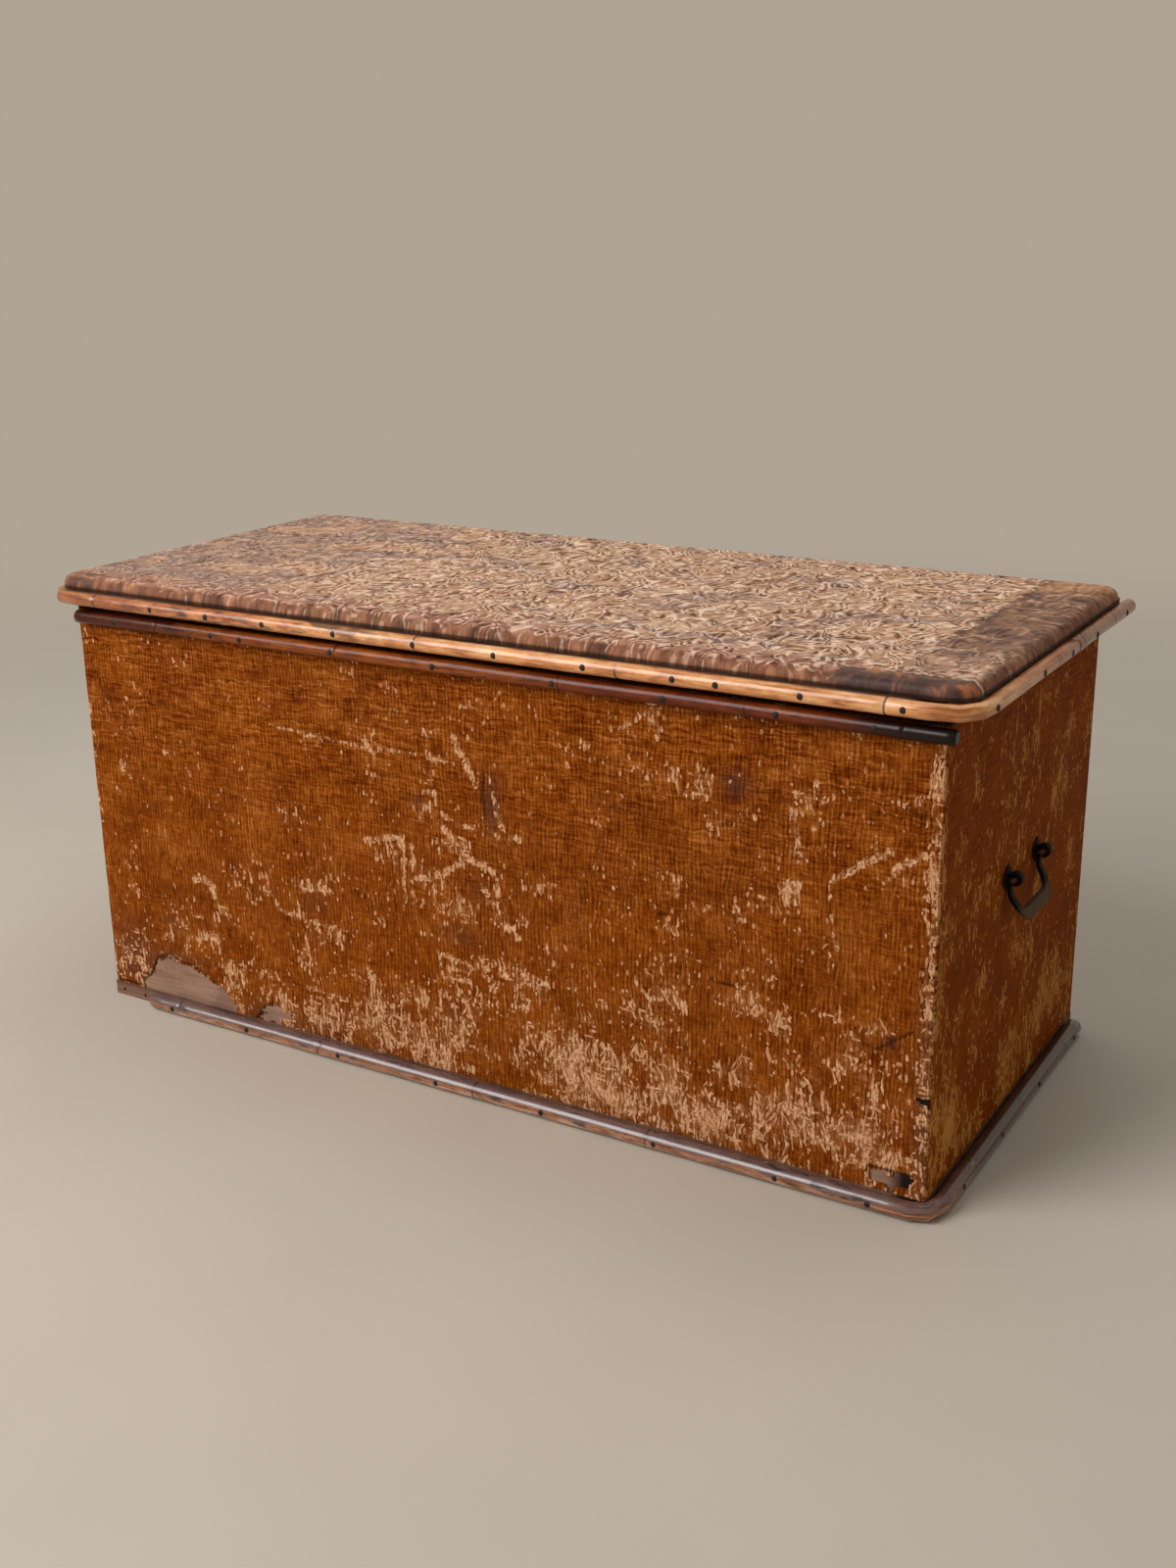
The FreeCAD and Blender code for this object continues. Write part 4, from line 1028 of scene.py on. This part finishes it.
def canePath(stops, bends):
    # straight runs with round bends, in the plane: length, place, direction and turn radius
    stops = [Vector((*stop, 0)) for stop in stops]
    runs = []
    here = stops[0]
    for i, corner in enumerate(stops[1:], 1):
        way = (corner - here).normalized()
        bend = bends[i]
        length = (corner - here).length - bend
        runs.append((length, here, way, 0))
        here = here + way * length
        if bend:
            onward = (stops[i + 1] - corner).normalized()
            side = 1 if way.x * onward.y - way.y * onward.x > 0 else -1
            runs.append((bend * math.pi / 2, here, way, side * bend))
            here = corner + onward * bend
    return runs


def onPath(runs, along):
    # place and direction at each distance
    place, way = np.empty((2, len(along), 2))
    start = 0
    for number, (length, here, direction, turn) in enumerate(runs):
        last = number == len(runs) - 1
        chosen = (along >= start - 1e-9) & ((along < start + length) | last)
        local = (along[chosen] - start)[:, None]
        begin, d = np.array(here[:2]), np.array(direction[:2])
        n = np.array([-d[1], d[0]])
        if turn == 0:
            place[chosen] = begin + local * d
            way[chosen] = d
        else:
            angle = local / abs(turn)
            place[chosen] = begin + abs(turn) * np.sin(angle) * d + turn * (1 - np.cos(angle)) * n
            way[chosen] = np.cos(angle) * d + math.copysign(1, turn) * np.sin(angle) * n
        start += length
    return place, way


def addCane(name, node, body, radius, height, runs, knots, seed):
    total = sum(run[0] for run in runs)
    rings = list(np.arange(0, total, cane["ringStep"])) + [total]
    for knot in knots:
        for offset in (0, 0.35, 0.8, 1.5, 2.6, 4.2):
            rings += [knot - offset * mm, knot + offset * mm]
    for end in (0, 1):
        rings += [abs(end * total - offset * mm) for offset in (0.5, 1.1, 1.8)]
    rings = np.unique(np.round([r for r in rings if 0 <= r <= total], 5))
    deselectAll()
    bpy.ops.mesh.primitive_cylinder_add(vertices=cane["sides"], radius=radius, depth=1,
                                        rotation=(0, math.pi / 2, 0), location=(0.5, 0, 0))
    piece = named(name)
    bpy.ops.object.transform_apply(location=True, rotation=True, scale=True)
    co = points(piece)
    longEdges = np.array([abs(co[edge.vertices[0], 0] - co[edge.vertices[1], 0]) > 0.5
                          for edge in piece.data.edges])
    openEdit(piece, "EDGE", longEdges)
    bpy.ops.mesh.subdivide(number_cuts=len(rings) - 2)
    enter("OBJECT")
    co = points(piece)
    along = rings[np.rint(co[:, 0] * (len(rings) - 1)).astype(int)]
    theta = np.arctan2(co[:, 2], co[:, 1])
    rng = np.random.default_rng(seed)
    shape = np.full(len(along), radius)
    knotNear = np.zeros(len(along))
    for knot in knots:
        offset = (along - knot) / mm - 0.25 * np.sin(theta + rng.uniform(0, 6))
        shape += cane["ridge"] * np.exp(-(offset / 1.9) ** 2) * rng.uniform(0.7, 1.0)
        shape -= cane["groove"] * np.exp(-(offset / 0.45) ** 2)
        knotNear = np.maximum(knotNear, np.exp(-(offset / 0.6) ** 2))
    shape *= 1 + 0.016 * (cloud(along / mm, theta * 4, 40, seed + 1) - 0.5) * 2
    shape -= 0.12 * mm * cloud(along / mm, (theta + 4) * 7, 14, seed + 2)
    for end in (0, total):
        near = np.clip(cane["chamfer"] - np.abs(along - end), 0, None)
        shape -= near ** 2 / (2.2 * mm)
    side, lift = (cane["wobble"] * 2 * (cloud(along / mm, along * 0, size, seed + extra) - 0.5)
                  for size, extra in ((70, 3), (90, 4)))
    place, way = onPath(runs, along)
    outward = np.stack([way[:, 1], -way[:, 0]], 1)
    around, over = shape * np.cos(theta), shape * np.sin(theta)
    places = np.empty((len(along), 3))
    places[:, :2] = place + outward * (around + side)[:, None]
    places[:, 2] = height + over + lift
    movePoints(piece, places)
    paint(piece, "straight", np.stack([around, over, along], 1) / mm)
    paint(piece, "knot", knotNear)
    work(piece)
    enter("EDIT")
    closeEdit(50)
    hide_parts(node)
    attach(piece, body)
    return piece


def caneMaterial(name, stops, burnt, burntFrom, coat, specular, wash, glazeAndSheen=None, scorched=None):
    # wash: tints along the cane, in mm, some of them painted shade; the upper side's colour is
    # darker varnish, tinted lilac-grey as a painted reflection of the pale sky;
    # scorched: a stretch burnt more
    material = startMaterial(name)
    knot = painted("knot")
    around, over, along = split(painted("straight", vector=True))
    burnt = tint(*burnt)

    def lengthways(thick, long, layer, detail, roughness):
        place = join(scaleAdd(around, thick, layer), times(over, thick), times(along, long))
        return grain(place, 1, detail, roughness, 0.3)

    streaks = lengthways(0.7, 0.02, 0.0, 3, 0.6)
    blotch = lengthways(0.12, 0.035, 4.0, 4, 0.62)
    fleck = lengthways(0.22, 0.05, 9.0, 4, 0.6)
    colour = ramp(swing(streaks, 0.5, blotch), *stops)
    if glazeAndSheen:
        # painted reflection: the darker, lilac-grey upper side stands for the pale sky mirrored in
        # the varnish
        upper = swing(blotch, 22.0, over)
        colour = blendIn(step(upper, 0.2, 3.2, 0.0, 0.84), colour, tint(*glazeAndSheen))
    if scorched:
        first, last = scorched
        stretch = times(step(along, first - 20, first + 20),
                        step(along, last + 80, last - 80, 0.0, 0.78))
        patch = lengthways(0.10, 0.028, 14.0, 3, 0.55)
        colour = blendIn(times(stretch, step(patch, 0.48, 0.64)), colour, burnt)
    reach = wash[-1][0]
    bands = ramp(calc("DIVIDE", swing(blotch, 120.0, along), reach),
                 *[(spot / reach, *shade) for spot, *shade in wash])
    colour = blendIn(1.0, colour, bands, "MULTIPLY")
    burn = step(swing(blotch, 0.5, fleck), burntFrom, burntFrom + 0.20, 0.0, 0.9)
    colour = blendIn(burn, colour, burnt)
    colour = blendIn(times(step(knot, 0.25, 0.8), 0.85), colour, tint(34, 17, 9))
    normal = bump(scaleAdd(fleck, 0.5, streaks), 0.10 * mm, 0.5)
    return finishMaterial(material, colour, scaleAdd(fleck, 0.30, 0.18), normal,
                          Specular_IOR_Level=specular, Coat_Weight=coat, Coat_Roughness=0.12)


margin = cane["margin"]
low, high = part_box("lid_cane_front")
lidRodRadius = (high.z - low.z) / 2 - margin
lidRodX, lidRodY = high.x - lidRodRadius - margin, low.y + lidRodRadius + margin
lidRodZ = (high.z + low.z) / 2
lidPath = canePath(
    [(-lidRodX, high.y), (-lidRodX, lidRodY), (lidRodX, lidRodY), (lidRodX, high.y)],
    [0, cane["lidBend"], cane["lidBend"], 0])
lidSide, lidTurn, lidFront = (run[0] for run in lidPath[:3])
lidKnots = [lidSide + lidTurn + share * lidFront
            for share in (0.04, 0.243, 0.47, 0.695, 0.765, 0.955)]
lidKnots += [lidSide * (1 - share) for share in (0.32, 0.72)]
lidKnots += [lidSide + 2 * lidTurn + lidFront + lidSide * share for share in (0.32, 0.72)]
lidCane = addCane("lidCane", "lid_cane_front", "lid", lidRodRadius, lidRodZ,
                  lidPath, lidKnots, 71)
lidCaneFinish = caneMaterial(
    "honeyCane",
    [(0.25, 128, 66, 28), (0.42, 198, 122, 66), (0.56, 230, 160, 100), (0.75, 248, 194, 140)],
    (56, 26, 14), 0.64, 0.55, 0.45,
    # painted shade: the wash's last stops darken the cane's right side, back from the front right
    # bend
    [(0, 150, 128, 114), (340, 200, 174, 156), (440, 240, 220, 204), (560, 255, 255, 255),
     (1180, 255, 255, 255), (1290, 216, 184, 158), (1380, 158, 122, 96), (1640, 122, 92, 70)],
    scorched=(330, 620))
dress(lidCane, lidCaneFinish)
for sideName, sign in (("right", 1), ("left", -1)):
    low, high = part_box(sideName + "_lid_cane_rear")
    stops = [(sign * lidRodX, low.y), (sign * lidRodX, high.y)]
    rear = addCane(sideName + "RearCane", sideName + "_lid_cane_rear", "lid",
                   lidRodRadius, lidRodZ, canePath(stops, [0, 0]),
                   [share * (high.y - low.y) for share in (0.08, 0.62)], 75 + sign)
    dress(rear, lidCaneFinish)

low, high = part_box("rim_cane")
rimY = (low.y + high.y) / 2
rimCane = addCane("rimCane", "rim_cane", "case", (high.z - low.z) / 2 - margin,
                  (low.z + high.z) / 2, canePath([(low.x, rimY), (high.x, rimY)], [0, 0]),
                  [share * (high.x - low.x) for share in (0.12, 0.36, 0.62, 0.81, 0.955)], 81)
# partly painted shade: the rim cane's colours are darker than the lid cane's, for the cane's own
# dark colour and as painted shade under the lid's overhang
dress(rimCane, caneMaterial(
    "darkAndShadedCane",
    [(0.22, 84, 36, 10), (0.42, 128, 62, 16), (0.58, 164, 88, 30), (0.78, 188, 118, 60)],
    (20, 9, 6), 0.56, 0.2, 0.2,
    # painted shade: the wash's last stops turn the cane's right end nearly black, under the lid
    # cane's corner
    [(0, 120, 86, 72), (110, 130, 96, 80), (190, 240, 226, 200), (430, 240, 226, 200),
     (560, 178, 138, 110), (760, 184, 148, 120), (812, 70, 50, 44), (862, 24, 16, 14)]))

low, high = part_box("base_cane_front")
baseRadius = cane["baseRadius"]
baseX, baseY = high.x - baseRadius - margin, low.y + baseRadius + margin
baseZ = (low.z + high.z) / 2
baseSideShares = (0.18, 0.52, 0.86)
basePath = canePath([(low.x, baseY), (baseX, baseY), (baseX, high.y)], [0, cane["baseBend"], 0])
baseFront, baseTurn, baseSide = (run[0] for run in basePath)
baseKnots = [share * baseFront for share in (0.05, 0.27, 0.49, 0.71, 0.9)]
baseKnots += [baseFront + baseTurn + share * baseSide for share in baseSideShares]
baseCane = addCane("baseCane", "base_cane_front", "case", baseRadius, baseZ,
                   basePath, baseKnots, 85)
baseFinish = caneMaterial(
    "floorCane",
    [(0.28, 60, 32, 20), (0.42, 138, 84, 54), (0.54, 184, 126, 90), (0.72, 226, 180, 148)],
    (24, 14, 14), 0.53, 0.8, 0.5,
    # painted shade: the wash's last stops darken the cane's right side, past the bend
    [(0, 255, 255, 255), (760, 255, 255, 255), (800, 255, 232, 214), (850, 255, 240, 226),
     (900, 150, 128, 118), (1240, 130, 112, 104)],
    # upper side: darker varnish, tinted lilac-grey as a painted reflection of the pale sky
    (84, 68, 74))
low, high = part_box("base_cane_left")
leftCane = addCane("leftBaseCane", "base_cane_left", "case", baseRadius, baseZ,
                   canePath([(-baseX, low.y), (-baseX, high.y)], [0, 0]),
                   [share * (high.y - low.y) for share in baseSideShares], 88)
for piece in (baseCane, leftCane):
    dress(piece, baseFinish)
print("canes bent and fitted")


# stage: plain pale floor, soft light

studio = {
    "backColour": tint(176, 164, 148),
    "floorColour": tint(203, 192, 176),
    "worldColour": (1, 0.985, 0.96, 1),
    "worldStrength": 0.30,
    "floorSize": 60,
    "floorFade": (1000.0, 2700.0),   # mm from the chest: the floor turns into the backdrop
    "lamps": {                       # place, aim, size, power
        "key": ((-1.5, -2.4, 2.2), (0, 0, 0.25), 2.4, 92.0),
        "overhead": ((0.2, 0.6, 2.6), (0, 0, 0.3), 1.8, 12.0),
    },
}


def seenDirectly():
    # 1 for what the camera sees, also in a reflection or through a clear piece
    path = put("LightPath").outputs
    seen = calc("ADD", path["Is Camera Ray"], path["Is Glossy Ray"], clamp=True)
    return calc("ADD", seen, path["Is Transmission Ray"], clamp=True)


def addStage():
    deselectAll()
    bpy.ops.mesh.primitive_plane_add(size=studio["floorSize"])
    floor = named("floor")
    material = startMaterial("paleFloor")
    place, x, y, z = objectMm()
    faded = step(radial(x, y), *studio["floorFade"])
    soft = step(grain(place, 0.004, 2, 0.5), 0.3, 0.7, 0.0, 0.12)
    colour = blendIn(soft, studio["floorColour"], studio["backColour"])
    near = put("BsdfPrincipled", Base_Color=colour, Roughness=0.9, Specular_IOR_Level=0.1)
    far = put("Emission", Color=studio["backColour"], Strength=1.0)
    shown = times(faded, seenDirectly())
    mixed = put("MixShader", Fac=shown, i1=near.outputs[0], i2=far.outputs[0])
    put("OutputMaterial", Surface=mixed.outputs[0])
    dress(floor, material)


def addLamp(name, place, aim, size, power):
    bpy.ops.object.light_add(type="AREA", location=place)
    lamp = bpy.context.object
    lamp.name = name
    lamp.data.shape = "DISK"
    lamp.data.size = size
    lamp.data.energy = power
    lamp.rotation_euler = (Vector(aim) - Vector(place)).to_track_quat("-Z", "Y").to_euler()


def addWorld():
    bpy.context.scene.world = buildIn(bpy.data.worlds.new("studio"))
    light = put("Background", Color=studio["worldColour"], Strength=studio["worldStrength"])
    shown = put("Background", Color=studio["backColour"], Strength=1.0)
    mixed = put("MixShader", Fac=seenDirectly(), i1=light.outputs[0], i2=shown.outputs[0])
    put("OutputWorld", Surface=mixed.outputs[0])


addStage()
addWorld()
for lampName, settings in studio["lamps"].items():
    addLamp(lampName, *settings)
print("stage and lamps set")
